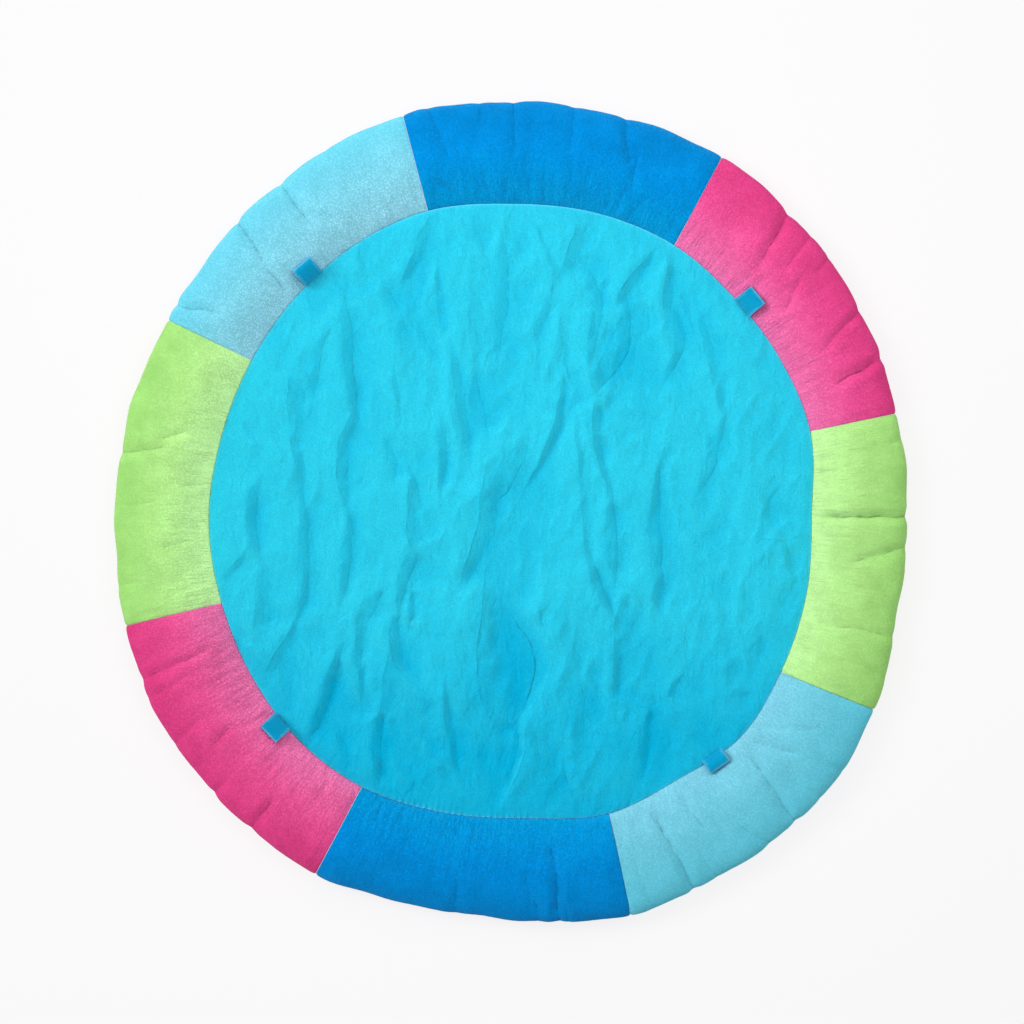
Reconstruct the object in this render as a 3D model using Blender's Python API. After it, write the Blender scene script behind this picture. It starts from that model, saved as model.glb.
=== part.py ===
"""A round padded play mat for a baby, as its maker would cut and sew it.

Eight stuffed fleece sections make the rim. One round, lightly wadded cotton piece fills the middle.
Four short folded ribbon loops are sewn into the seam between them and lie outwards over the rim.

Plan sizes are polar, from the middle of the mat: an angle in degrees, anticlockwise as seen from
above, and a distance in millimetres. The whole mat is turned by TURN_DEG at the end, so that its
four loops face along the X and Y axes. It lies on the ground at z = 0.
"""
import math
from bisect import bisect_right
from collections import namedtuple

import bmesh
import bpy
from mathutils import Vector
from mathutils.bvhtree import BVHTree
from mathutils.geometry import delaunay_2d_cdt

MM = 0.001
TURN_DEG = -40.0
MIDDLE_MM = (1.05, 11.3)
PLAN_REACH = 360.0
SHARP_DEG = 50.0

# Rim, in millimetres
SEAM_HEIGHT = 7.0
CREST_SHARE = 0.5
INNER_EASE = 1.15
SIDE_SHARE = 0.42
SIDE_FULLNESS = 2.3
GROUND_INSET = 13.0
SEAM_DIP = 4.5
SEAM_DIP_REACH = 10.0
COLUMN_PITCH = 12.5
SEAM_COLUMNS = (4.0, 11.0)
DEEP_PUCKER = 3.0
PUCKER_ROOM = 18.0
PUCKER_FADE = 15.0
PUCKER_REACH = 4.0
PUCKER_SIDE = 0.9
OPEN_PUCKER = 420.0
INNER_CALM = 14.0
MID_RIM = 385.0
MID_SEAM = 332.0
CLEARANCE = 0.2
END_CLEARANCE = 0.17
INNER_ROWS = 5
OUTER_ROWS = 6
UNDER_ROWS = 3

# Middle piece, in millimetres
WADDING = 9.0
EDGE_HEIGHT = 6.3
EDGE_REACH = 13.0
THINNEST = 3.2
FADE_SHARE = 0.2
END_STRENGTH = 0.3
END_REACH = 10.0
FOLD_REACH = 7.0
FOLD_ROUNDNESS = 1.25
TRACE_PITCH = 6.0
EDGE_PITCH = 13.0
FOLD_PITCH = 13.0
FILL_PITCH = 17.5
FILL_MARGIN = 10.0
GROUND_PITCH = 80.0
GROUND_MARGIN = 40.0
CREASE_ROOM = 4.5
EDGE_ROOM = 8.0
FILL_ROOM = 9.5
ROW_RISE = math.sqrt(0.75)

# Ribbon loops, in millimetres
RIBBON = 1.3
LOOP_WIDTH = 25.0
LOOP_TAPER = 0.94
LOOP_LIFT = 0.35
LOOP_STATIONS = 3
RUN_POINTS = 6
FOLD_POINTS = 8
JOIN_LENGTH = 3.0
ROOT_RISE = 0.7
LEAN_EASE = 0.8
SLOPE_STEP = 1.0
SLOPE_SPAN = 2.0
ABOVE_ALL = 200.0

PINK = (0.83, 0.08, 0.29)
BLUE = (0.01, 0.28, 0.72)
AQUA = (0.27, 0.67, 0.80)
GREEN = (0.42, 0.80, 0.20)
TURQUOISE = (0.01, 0.52, 0.76)
RIBBON_BLUE = (0.01, 0.36, 0.66)

# One row for each rim section, anticlockwise. A section starts at the seam given by its two angles.
# The edges are distances at the start, at one third and at two thirds of the section.
Section = namedtuple("Section", "name colour outer_deg inner_deg outer_edge inner_edge crown")
SECTIONS = (
    Section("rim_pink_1", PINK, 14.2, 14.9, (429.0, 434.0, 437.5), (335.0, 334.5, 334.0), 42.0),
    Section("rim_blue_1", BLUE, 59.2, 58.4, (445.0, 440.5, 440.5), (337.5, 335.5, 332.5), 41.0),
    Section("rim_aqua_1", AQUA, 105.3, 105.5, (443.0, 434.0, 428.0), (337.0, 334.0, 328.5), 40.0),
    Section("rim_green_1", GREEN, 150.9, 149.9, (423.0, 424.0, 427.5), (324.5, 323.5, 327.0), 40.0),
    Section("rim_pink_2", PINK, 196.6, 197.6, (432.5, 440.0, 442.0), (328.5, 332.5, 338.0), 43.0),
    Section("rim_blue_2", BLUE, 241.7, 241.6, (443.0, 437.5, 441.0), (339.5, 334.5, 333.0), 41.0),
    Section("rim_aqua_2", AQUA, 286.5, 288.0, (453.0, 453.5, 454.0), (344.0, 342.0, 348.5), 44.0),
    Section("rim_green_2", GREEN, 331.3, 329.2, (446.0, 431.0, 426.0), (340.0, 332.0, 325.5), 40.0),
)

# One row for each wave of unevenness in the rim's stuffing: its swell in millimetres, how often it
# comes round the mat, how it drifts across the rim, and where it starts, in radians.
Wave = namedtuple("Wave", "swell waves drift start")
STUFFING = (
    Wave(0.9, 9.0, 0.0, 1.3),
    Wave(0.8, 23.0, 5.0, 0.0),
    Wave(0.5, 41.0, -4.0, 0.7),
)

# One row for each pucker of the rim: where it starts near the outer edge and ends near the inner
# one, its depth, and the half width of its groove.
Pucker = namedtuple("Pucker", "outer_deg outer_mm inner_deg inner_mm depth half_width")
PUCKERS = (
    Pucker(22.5, 440.0, 21.3, 367.0, 5.0, 6.0),
    Pucker(29.8, 432.0, 26.7, 367.0, 3.2, 6.0),
    Pucker(39.4, 402.0, 35.6, 358.0, 3.5, 6.0),
    Pucker(42.3, 421.0, 41.0, 380.0, 2.0, 5.0),
    Pucker(47.0, 440.0, 44.1, 362.0, 5.0, 6.5),
    Pucker(70.9, 416.0, 69.0, 356.0, 2.8, 5.0),
    Pucker(73.6, 440.0, 71.0, 383.0, 3.5, 6.0),
    Pucker(81.0, 427.0, 80.3, 383.0, 2.2, 6.0),
    Pucker(89.5, 443.0, 89.5, 373.0, 3.2, 6.0),
    Pucker(94.4, 443.0, 94.4, 400.0, 2.2, 6.0),
    Pucker(101.3, 432.0, 100.0, 378.0, 2.5, 6.0),
    Pucker(122.7, 383.0, 120.7, 356.0, 2.0, 5.0),
    Pucker(125.2, 423.0, 124.7, 365.0, 4.5, 6.0),
    Pucker(133.6, 421.0, 136.3, 333.0, 5.0, 6.0),
    Pucker(148.4, 425.0, 145.7, 373.0, 4.2, 6.0),
    Pucker(169.0, 394.0, 166.0, 351.0, 2.8, 6.0),
    Pucker(171.4, 424.0, 169.2, 369.0, 3.6, 6.0),
    Pucker(186.0, 380.0, 185.0, 340.0, 2.0, 6.0),
    Pucker(190.8, 431.0, 190.6, 400.0, 2.0, 6.0),
    Pucker(204.5, 432.0, 204.7, 351.0, 3.6, 6.0),
    Pucker(218.5, 412.0, 217.5, 372.0, 3.0, 5.5),
    Pucker(223.3, 442.0, 223.3, 412.0, 2.5, 6.0),
    Pucker(230.7, 441.0, 230.5, 394.0, 3.4, 6.0),
    Pucker(262.0, 430.0, 261.5, 380.0, 2.0, 7.0),
    Pucker(273.9, 441.0, 273.7, 415.0, 2.4, 6.0),
    Pucker(276.8, 443.0, 277.0, 354.0, 4.6, 6.0),
    Pucker(296.0, 448.0, 295.0, 354.0, 5.0, 6.5),
    Pucker(301.6, 405.0, 300.3, 354.0, 3.0, 6.0),
    Pucker(307.6, 448.0, 305.8, 410.0, 2.5, 6.0),
    Pucker(312.6, 448.0, 314.3, 364.0, 5.0, 6.5),
    Pucker(319.7, 405.0, 316.4, 356.0, 3.2, 6.0),
    Pucker(341.8, 430.0, 340.0, 346.0, 3.2, 7.0),
    Pucker(354.8, 427.0, 351.2, 363.0, 3.2, 6.0),
    Pucker(359.2, 427.0, 358.6, 332.0, 6.0, 6.0),
)

# One row for each main wrinkle of the middle piece. It runs from its top end through its middle to
# its bottom end, in millimetres right of and above the mat's middle. The cloth falls by drop across
# flank, from a crest on the left to a trough on the right; a negative drop rises instead.
Wrinkle = namedtuple("Wrinkle", "top middle bottom flank drop")
WRINKLES = (
    Wrinkle((-86, 318), (-103, 275), (-118, 240), 11, 5.2),
    Wrinkle((-138, 246), (-122, 202), (-97, 152), 14, 4.2),
    Wrinkle((-79, 262), (-77, 222), (-73, 186), 8, 2.9),
    Wrinkle((-181, 228), (-175, 160), (-170, 104), 12, 5.9),
    Wrinkle((-170, 104), (-182, 58), (-178, 6), 13, 5.5),
    Wrinkle((-196, 198), (-212, 158), (-216, 120), 13, 3.6),
    Wrinkle((-234, 152), (-235, 104), (-226, 18), 12, 4.4),
    Wrinkle((-226, 18), (-224, -60), (-232, -120), 12, 5.2),
    Wrinkle((-232, -120), (-246, -150), (-266, -182), 11, 4.2),
    Wrinkle((-272, 34), (-281, -8), (-268, -58), 11, 5.5),
    Wrinkle((-268, -58), (-271, -92), (-275, -136), 12, 3.1),
    Wrinkle((-178, 6), (-176, -40), (-184, -100), 11, 4.7),
    Wrinkle((-160, -104), (-164, -150), (-161, -204), 8, 4.9),
    Wrinkle((-184, -150), (-200, -200), (-221, -252), 11, 6.5),
    Wrinkle((-111, 42), (-108, -10), (-104, -40), 10, 4.7),
    Wrinkle((-104, -40), (-116, -72), (-122, -112), 12, 5.7),
    Wrinkle((-122, -112), (-124, -150), (-88, -200), 12, 5.5),
    Wrinkle((-137, -86), (-150, -100), (-158, -122), 12, 3.4),
    Wrinkle((-127, -156), (-132, -190), (-140, -220), 15, 3.4),
    Wrinkle((-142, -216), (-144, -256), (-147, -302), 11, 6.0),
    Wrinkle((-70, -176), (-68, -230), (-54, -296), 7, 3.4),
    Wrinkle((-75, 98), (-74, 60), (-76, 16), 10, 3.9),
    Wrinkle((-64, 176), (-54, 118), (-44, 54), 11, 4.2),
    Wrinkle((-40, 158), (-37, 116), (-29, 78), 15, 3.9),
    Wrinkle((-24, 44), (-28, -20), (-58, -84), 20, 7.2),
    Wrinkle((-12, 300), (-9, 240), (-18, 160), 14, 3.4),
    Wrinkle((72, 312), (70, 285), (56, 258), 14, 4.7),
    Wrinkle((77, 268), (92, 215), (80, 158), 13, 4.9),
    Wrinkle((156, 282), (130, 248), (114, 222), 11, 5.5),
    Wrinkle((124, 226), (118, 184), (85, 126), 24, 7.8),
    Wrinkle((94, 118), (94, 78), (108, 14), 10, 5.5),
    Wrinkle((108, 14), (108, -30), (110, -80), 14, 5.2),
    Wrinkle((174, 270), (171, 240), (168, 210), 11, 5.5),
    Wrinkle((168, 218), (183, 186), (165, 138), 13, 4.7),
    Wrinkle((200, 224), (218, 158), (231, 100), 9, 3.1),
    Wrinkle((232, 104), (216, 60), (198, 14), 15, 3.1),
    Wrinkle((56, 138), (44, 78), (8, 10), 8, 3.9),
    Wrinkle((16, 80), (-2, 44), (-22, 6), 22, 4.7),
    Wrinkle((71, 96), (78, 20), (86, -52), 8, 3.4),
    Wrinkle((86, -52), (96, -88), (114, -118), 8, 5.5),
    Wrinkle((126, -84), (119, -124), (114, -190), 13, 3.9),
    Wrinkle((160, 60), (156, -30), (164, -118), 14, 5.2),
    Wrinkle((-10, -96), (34, -152), (12, -226), 22, -8.5),
    Wrinkle((12, -222), (8, -262), (-14, -322), 11, -6.0),
    Wrinkle((-22, -60), (-16, -150), (-14, -230), 44, 6.5),
    Wrinkle((71, -180), (71, -214), (76, -256), 16, 2.9),
    Wrinkle((58, -246), (66, -284), (77, -318), 12, -4.4),
    Wrinkle((150, -214), (146, -240), (140, -292), 10, 3.9),
    Wrinkle((262, -14), (286, -22), (318, -20), 20, 3.9),
)

# One row for each ribbon loop: its place on the seam, the way it points, how far it reaches from
# the seam in plan, the height of its eye, and how far its upper layer leans over the middle piece.
Loop = namedtuple("Loop", "name seam_deg points_deg reach eye lean")
LOOPS = (
    Loop("loop_1", 130.3, 131.5, 20.0, 7.6, 0.0),
    Loop("loop_2", 41.3, 39.2, 20.5, 7.4, 0.5),
    Loop("loop_3", 222.6, 223.2, 20.0, 7.8, 0.5),
    Loop("loop_4", 309.4, 305.6, 13.0, 8.4, 7.0),
)


def clear_scene():
    for obj in list(bpy.data.objects):
        bpy.data.objects.remove(obj, do_unlink=True)


def polar(deg, distance):
    turn = math.radians(deg)
    return Vector((distance * math.cos(turn), distance * math.sin(turn)))


def ring_curve(edge, seam):
    """A closed curve through a section edge's distances, as (angle, distance) knots in order."""
    knots = []
    count = len(SECTIONS)
    for index, section in enumerate(SECTIONS):
        start = getattr(section, seam)
        end = getattr(SECTIONS[(index + 1) % count], seam)
        if end < start:
            end += 360.0
        distances = getattr(section, edge)
        for step, distance in enumerate(distances):
            knots.append((start + (end - start) * step / len(distances), distance))
    return sorted((deg % 360.0, distance) for deg, distance in knots)


OUTER_KNOTS = ring_curve("outer_edge", "outer_deg")
INNER_KNOTS = ring_curve("inner_edge", "inner_deg")
HALF_SECTION = 180.0 / len(SECTIONS)
CROWN_KNOTS = sorted(((s.outer_deg + HALF_SECTION) % 360.0, s.crown) for s in SECTIONS)


def on_curve(knots, deg):
    """The distance at an angle, on a smooth curve through the knots."""
    deg %= 360.0
    count = len(knots)
    index = bisect_right([knot[0] for knot in knots], deg) - 1

    def knot(offset):
        turns, place = divmod(index + offset, count)
        return knots[place][0] + 360.0 * turns, knots[place][1]

    (deg_a, a), (deg_b, b), (deg_c, c), (deg_d, d) = (knot(offset) for offset in (-1, 0, 1, 2))
    share = (deg - deg_b) / (deg_c - deg_b)
    slope_b = (c - a) / (deg_c - deg_a) * (deg_c - deg_b)
    slope_c = (d - b) / (deg_d - deg_b) * (deg_c - deg_b)
    square = share * share
    cube = square * share
    return ((2.0 * cube - 3.0 * square + 1.0) * b + (cube - 2.0 * square + share) * slope_b
            + (3.0 * square - 2.0 * cube) * c + (cube - square) * slope_c)


def smooth_step(value):
    value = min(max(value, 0.0), 1.0)
    return value * value * (3.0 - 2.0 * value)


def stuffing(deg, share):
    """The unevenness of the rim's stuffing, in millimetres."""
    turn = math.radians(deg)
    return sum(wave.swell * math.sin(wave.waves * turn + wave.drift * share + wave.start)
               for wave in STUFFING)


def pucker_push(point):
    """How far the puckers draw the rim's surface in at a point of the plan."""
    push = 0.0
    for pucker in PUCKERS:
        outer = polar(pucker.outer_deg, pucker.outer_mm)
        inner = polar(pucker.inner_deg, pucker.inner_mm)
        along = inner - outer
        share = (point - outer).dot(along) / along.length_squared
        fade = smooth_step((1.0 - share) * along.length / PUCKER_FADE)
        if pucker.outer_mm < OPEN_PUCKER:
            fade *= smooth_step(share * along.length / PUCKER_FADE)
        if fade == 0.0:
            continue
        offset = (point - outer - along * share).length / pucker.half_width
        if offset < PUCKER_REACH:
            square = offset * offset
            push += pucker.depth * fade * (1.0 - 0.5 * square) * math.exp(-0.5 * square)
    return push


def rim_profile(width, crown):
    """The rim's section from the inner seam over its crest to the ground, as (across, height)."""
    crest = width * CREST_SHARE
    side_height = crown * SIDE_SHARE
    points = []
    for step in range(INNER_ROWS):
        share = (step / INNER_ROWS) ** INNER_EASE
        points.append((crest * share,
                       SEAM_HEIGHT + (crown - SEAM_HEIGHT) * math.sin(0.5 * math.pi * share)))
    power = 2.0 / SIDE_FULLNESS
    for step in range(OUTER_ROWS + 1):
        turn = 0.5 * math.pi * (1.0 - step / OUTER_ROWS)
        points.append((crest + (width - crest) * max(math.cos(turn), 0.0) ** power,
                       side_height + (crown - side_height) * max(math.sin(turn), 0.0) ** power))
    for step in range(1, UNDER_ROWS + 1):
        turn = 0.5 * math.pi * step / UNDER_ROWS
        points.append((width - GROUND_INSET * (1.0 - math.cos(turn)),
                       side_height * (1.0 - math.sin(turn))))
    return points


def profile_normal(points, index):
    """The outward normal of a section at one of its points, as (across, height)."""
    before = points[max(index - 1, 0)]
    after = points[min(index + 1, len(points) - 1)]
    run = after[0] - before[0]
    rise = after[1] - before[1]
    length = math.hypot(run, rise)
    return -rise / length, run / length


def section_end(index):
    """The seam that ends a section, as (outer angle, inner angle) past the section's start."""
    section = SECTIONS[index]
    following = SECTIONS[(index + 1) % len(SECTIONS)]
    outer = following.outer_deg
    inner = following.inner_deg
    if outer < section.outer_deg:
        outer += 360.0
        inner += 360.0
    return outer, inner


def deep_lines(index):
    """A section's deep puckers, each drawn out to both edges, as (outer, inner) angles in order."""
    section = SECTIONS[index]
    end_outer, end_inner = section_end(index)
    least = PUCKER_ROOM / math.radians(MID_RIM)
    lines = []
    for pucker in sorted(PUCKERS, key=lambda row: -row.depth):
        if pucker.depth < DEEP_PUCKER:
            continue
        outer_deg = pucker.outer_deg
        inner_deg = pucker.inner_deg
        if outer_deg < section.outer_deg:
            outer_deg += 360.0
            inner_deg += 360.0
        if not section.outer_deg < outer_deg < end_outer:
            continue
        lean = (inner_deg - outer_deg) / (pucker.inner_mm - pucker.outer_mm)
        outer = outer_deg + lean * (on_curve(OUTER_KNOTS, outer_deg) - pucker.outer_mm)
        inner = inner_deg + lean * (on_curve(INNER_KNOTS, inner_deg) - pucker.inner_mm)
        room = min(outer - section.outer_deg, inner - section.inner_deg,
                   end_outer - outer, end_inner - inner)
        apart = all(abs(outer - line[0]) > least and abs(inner - line[1]) > least
                    for line in lines)
        if room > least and apart:
            lines.append((outer, inner, pucker.half_width))
    return sorted(lines)


def column_lines(index):
    """The (outer, inner) angles of a section's columns, which follow its deep puckers."""
    section = SECTIONS[index]
    end_outer, end_inner = section_end(index)
    length = math.radians(MID_RIM)
    stops = [(section.outer_deg, section.inner_deg)]
    for reach in SEAM_COLUMNS:
        stops.append((section.outer_deg + reach / length, section.inner_deg + reach / length))
    for outer, inner, half_width in deep_lines(index):
        for side in (-PUCKER_SIDE, 0.0, PUCKER_SIDE):
            shift = side * half_width / length
            stops.append((outer + shift, inner + shift))
    for reach in reversed(SEAM_COLUMNS):
        stops.append((end_outer - reach / length, end_inner - reach / length))
    stops.append((end_outer, end_inner))
    columns = [stops[0]]
    for before, after in zip(stops, stops[1:]):
        gap = max(after[0] - before[0], after[1] - before[1]) * length
        steps = max(1, math.ceil(gap / COLUMN_PITCH))
        for step in range(1, steps + 1):
            share = step / steps
            columns.append((before[0] + (after[0] - before[0]) * share,
                            before[1] + (after[1] - before[1]) * share))
    return columns


def seam_drop(section, end, outer, inner):
    """How far the two end seams of a section draw its crown down at a column."""
    length = math.radians(MID_RIM)
    start_gap = 0.5 * (outer - section.outer_deg + inner - section.inner_deg) * length
    end_gap = 0.5 * (end[0] - outer + end[1] - inner) * length
    drop = math.exp(-((start_gap / SEAM_DIP_REACH) ** 2))
    drop += math.exp(-((end_gap / SEAM_DIP_REACH) ** 2))
    return SEAM_DIP * drop


def rim_column(index, outer, inner, side):
    """One column of a section: its points from the inner edge at the ground, over, and back."""
    section = SECTIONS[index]
    end = section_end(index)
    inner_point = polar(inner, on_curve(INNER_KNOTS, inner) + CLEARANCE)
    outer_point = polar(outer, on_curve(OUTER_KNOTS, outer))
    across = outer_point - inner_point
    width = across.length
    across.normalize()
    sideways = Vector((-across.y, across.x)) * (side * END_CLEARANCE)
    crown = on_curve(CROWN_KNOTS, 0.5 * (outer + inner)) - seam_drop(section, end, outer, inner)
    profile = rim_profile(width, crown)
    rows = [(inner_point + sideways, 0.0)]
    last = len(profile) - 1
    for row, (run, height) in enumerate(profile):
        plan = inner_point + across * run
        share = run / width
        under = max(0, row - INNER_ROWS - OUTER_ROWS) / UNDER_ROWS
        loose = smooth_step(run / INNER_CALM) * (1.0 - smooth_step(under))
        push = (stuffing(0.5 * (outer + inner), share) - pucker_push(plan)) * loose
        normal = profile_normal(profile, row)
        if row == last:
            normal = (0.0, 0.0)
        plan = plan + across * (normal[0] * push) + sideways
        rows.append((plan, max(height + normal[1] * push, 0.0)))
    return [Vector((plan.x, plan.y, height)) for plan, height in rows]


def rim_section(index):
    """The points and faces of one stuffed section."""
    columns = column_lines(index)
    points = []
    for number, (outer, inner) in enumerate(columns):
        side = 0
        if number == 0:
            side = 1
        elif number == len(columns) - 1:
            side = -1
        points.append(rim_column(index, outer, inner, side))
    rows = len(points[0])
    verts = [point for column in points for point in column]
    faces = []
    for number in range(len(columns) - 1):
        for row in range(rows):
            after = (row + 1) % rows
            faces.append((number * rows + row, number * rows + after,
                          (number + 1) * rows + after, (number + 1) * rows + row))
    faces.append(tuple(range(rows)))
    faces.append(tuple((len(columns) - 1) * rows + row for row in range(rows)))
    return verts, faces


def through(wrinkle, share):
    """A point on a wrinkle's curve, from its top (0) through its middle to its bottom (1)."""
    top, middle, bottom = (Vector(spot) for spot in (wrinkle.top, wrinkle.middle, wrinkle.bottom))
    bend = middle * 2.0 - (top + bottom) * 0.5
    rest = 1.0 - share
    return top * (rest * rest) + bend * (2.0 * rest * share) + bottom * (share * share)


def trace(wrinkle, pitch):
    """Evenly shared points along a wrinkle, each as (share, point, unit direction)."""
    rough = (Vector(wrinkle.top) - Vector(wrinkle.middle)).length
    rough += (Vector(wrinkle.middle) - Vector(wrinkle.bottom)).length
    steps = max(2, round(rough / pitch))
    spots = [through(wrinkle, step / steps) for step in range(steps + 1)]
    traced = []
    for step, spot in enumerate(spots):
        way = spots[min(step + 1, steps)] - spots[max(step - 1, 0)]
        traced.append((step / steps, spot, way.normalized()))
    return traced


TRACES = [(wrinkle, trace(wrinkle, TRACE_PITCH)) for wrinkle in WRINKLES]


def wrinkle_height(point):
    """The height that the wrinkles add to the middle piece at a point of the plan."""
    height = 0.0
    for wrinkle, traced in TRACES:
        half = 0.5 * wrinkle.flank
        share, spot, way = min(traced, key=lambda entry: (entry[1] - point).length_squared)
        gap = point - spot
        side = gap.x * -way.y + gap.y * way.x
        past = gap.dot(way)
        offset = side / half
        if abs(offset) > FOLD_REACH:
            continue
        fade = smooth_step(share / FADE_SHARE) * smooth_step((1.0 - share) / FADE_SHARE)
        fade = (END_STRENGTH + (1.0 - END_STRENGTH) * fade) * math.exp(-((past / END_REACH) ** 2))
        lean = offset * math.exp((1.0 - abs(offset) ** FOLD_ROUNDNESS) / FOLD_ROUNDNESS)
        height -= 0.5 * wrinkle.drop * lean * fade
    return height


def room_inside(point):
    """How far a point of the plan lies inside the seam between the middle piece and the rim."""
    deg = math.degrees(math.atan2(point.y, point.x))
    return on_curve(INNER_KNOTS, deg) - point.length


def middle_height(point):
    """The height of the middle piece's upper side."""
    settle = 1.0 - math.exp(-max(room_inside(point), 0.0) / EDGE_REACH)
    height = EDGE_HEIGHT + (WADDING - EDGE_HEIGHT + wrinkle_height(point)) * settle
    return max(height, THINNEST)


def middle_edge():
    """The plan outline of the middle piece, one clearance inside the seam."""
    steps = round(2.0 * math.pi * MID_SEAM / EDGE_PITCH)
    edge = []
    for step in range(steps):
        deg = 360.0 * step / steps
        edge.append(polar(deg, on_curve(INNER_KNOTS, deg) - CLEARANCE))
    return edge


def even_spots(pitch, margin, taken, apart):
    """A triangular pattern of points inside the edge, clear of the points already taken."""
    spots = []
    rows = math.ceil(PLAN_REACH / (pitch * ROW_RISE))
    for row in range(-rows, rows + 1):
        for place in range(-rows, rows + 1):
            spot = Vector(((place + 0.5 * (row % 2)) * pitch, row * pitch * ROW_RISE))
            if room_inside(spot) < margin:
                continue
            if all((spot - other).length_squared > apart * apart for other in taken):
                spots.append(spot)
    return spots


def crease_lines():
    """Points on the crest and trough lines of the wrinkles, and the sides that join them."""
    sides = []
    taken = []
    for wrinkle in sorted(WRINKLES, key=lambda row: -abs(row.drop)):
        traced = trace(wrinkle, FOLD_PITCH)
        half = 0.5 * wrinkle.flank
        for side in (-half, half):
            before = None
            line = []
            for _, spot, way in traced:
                place = spot + Vector((-way.y, way.x)) * side
                clear = all((place - other).length > CREASE_ROOM for other in taken)
                if not clear or room_inside(place) < EDGE_ROOM:
                    before = None
                    continue
                number = len(taken) + len(line)
                if before is not None:
                    sides.append((before, number))
                line.append(place)
                before = number
            taken.extend(line)
    return taken, sides


def triangles_inside(edge, spots, creases):
    """A plane triangle mesh of the edge and the spots inside it, with sides along the creases."""
    count = len(edge)
    sides = [(step, (step + 1) % count) for step in range(count)]
    sides += [(count + first, count + second) for first, second in creases]
    found = delaunay_2d_cdt(edge + spots, sides, [], 1, 0.0001)
    verts, faces = found[0], found[2]
    return verts, [tuple(face) for face in faces]


def middle_piece():
    """The points and faces of the wadded middle piece: wrinkled above, flat on the ground."""
    edge = middle_edge()
    creased, creases = crease_lines()
    spots = creased + even_spots(FILL_PITCH, FILL_MARGIN, creased, FILL_ROOM)
    top, top_faces = triangles_inside(edge, spots, creases)
    below = even_spots(GROUND_PITCH, GROUND_MARGIN, [], FILL_ROOM)
    ground, ground_faces = triangles_inside(edge, below, [])
    verts = [Vector((spot.x, spot.y, middle_height(spot))) for spot in top]
    first = len(verts)
    verts += [Vector((spot.x, spot.y, 0.0)) for spot in ground]
    faces = top_faces + [tuple(first + corner for corner in face) for face in ground_faces]
    count = len(edge)
    for step in range(count):
        after = (step + 1) % count
        faces.append((step, after, first + after, first + step))
    return verts, faces


def loop_outline(loop, slope_reach):
    """A loop's section as (along, above) pairs: its outer side, and the eye inside it."""
    radius = 0.5 * loop.eye + RIBBON
    straight = slope_reach - radius
    outer = []
    eye = []
    for step in range(RUN_POINTS):
        share = step / RUN_POINTS
        outer.append((straight * share, 0.0))
        eye.append((JOIN_LENGTH + (straight - JOIN_LENGTH) * share, RIBBON))
    for step in range(FOLD_POINTS + 1):
        turn = math.pi * (step / FOLD_POINTS - 0.5)
        outer.append((straight + radius * math.cos(turn), radius + radius * math.sin(turn)))
        inside = radius - RIBBON
        eye.append((straight + inside * math.cos(turn), radius + inside * math.sin(turn)))
    for step in range(1, RUN_POINTS + 1):
        share = 1.0 - step / RUN_POINTS
        rise = math.sin(0.5 * math.pi * share) ** ROOT_RISE if share > 0.0 else 0.0
        lean = loop.lean * math.sin(math.pi * share ** LEAN_EASE)
        outer.append((straight * share - lean,
                      2.0 * RIBBON + (2.0 * radius - 2.0 * RIBBON) * rise))
        eye.append((JOIN_LENGTH + (straight - JOIN_LENGTH) * share - lean,
                    RIBBON + (2.0 * radius - 2.0 * RIBBON) * rise))
    return outer, eye[:-1]


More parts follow.
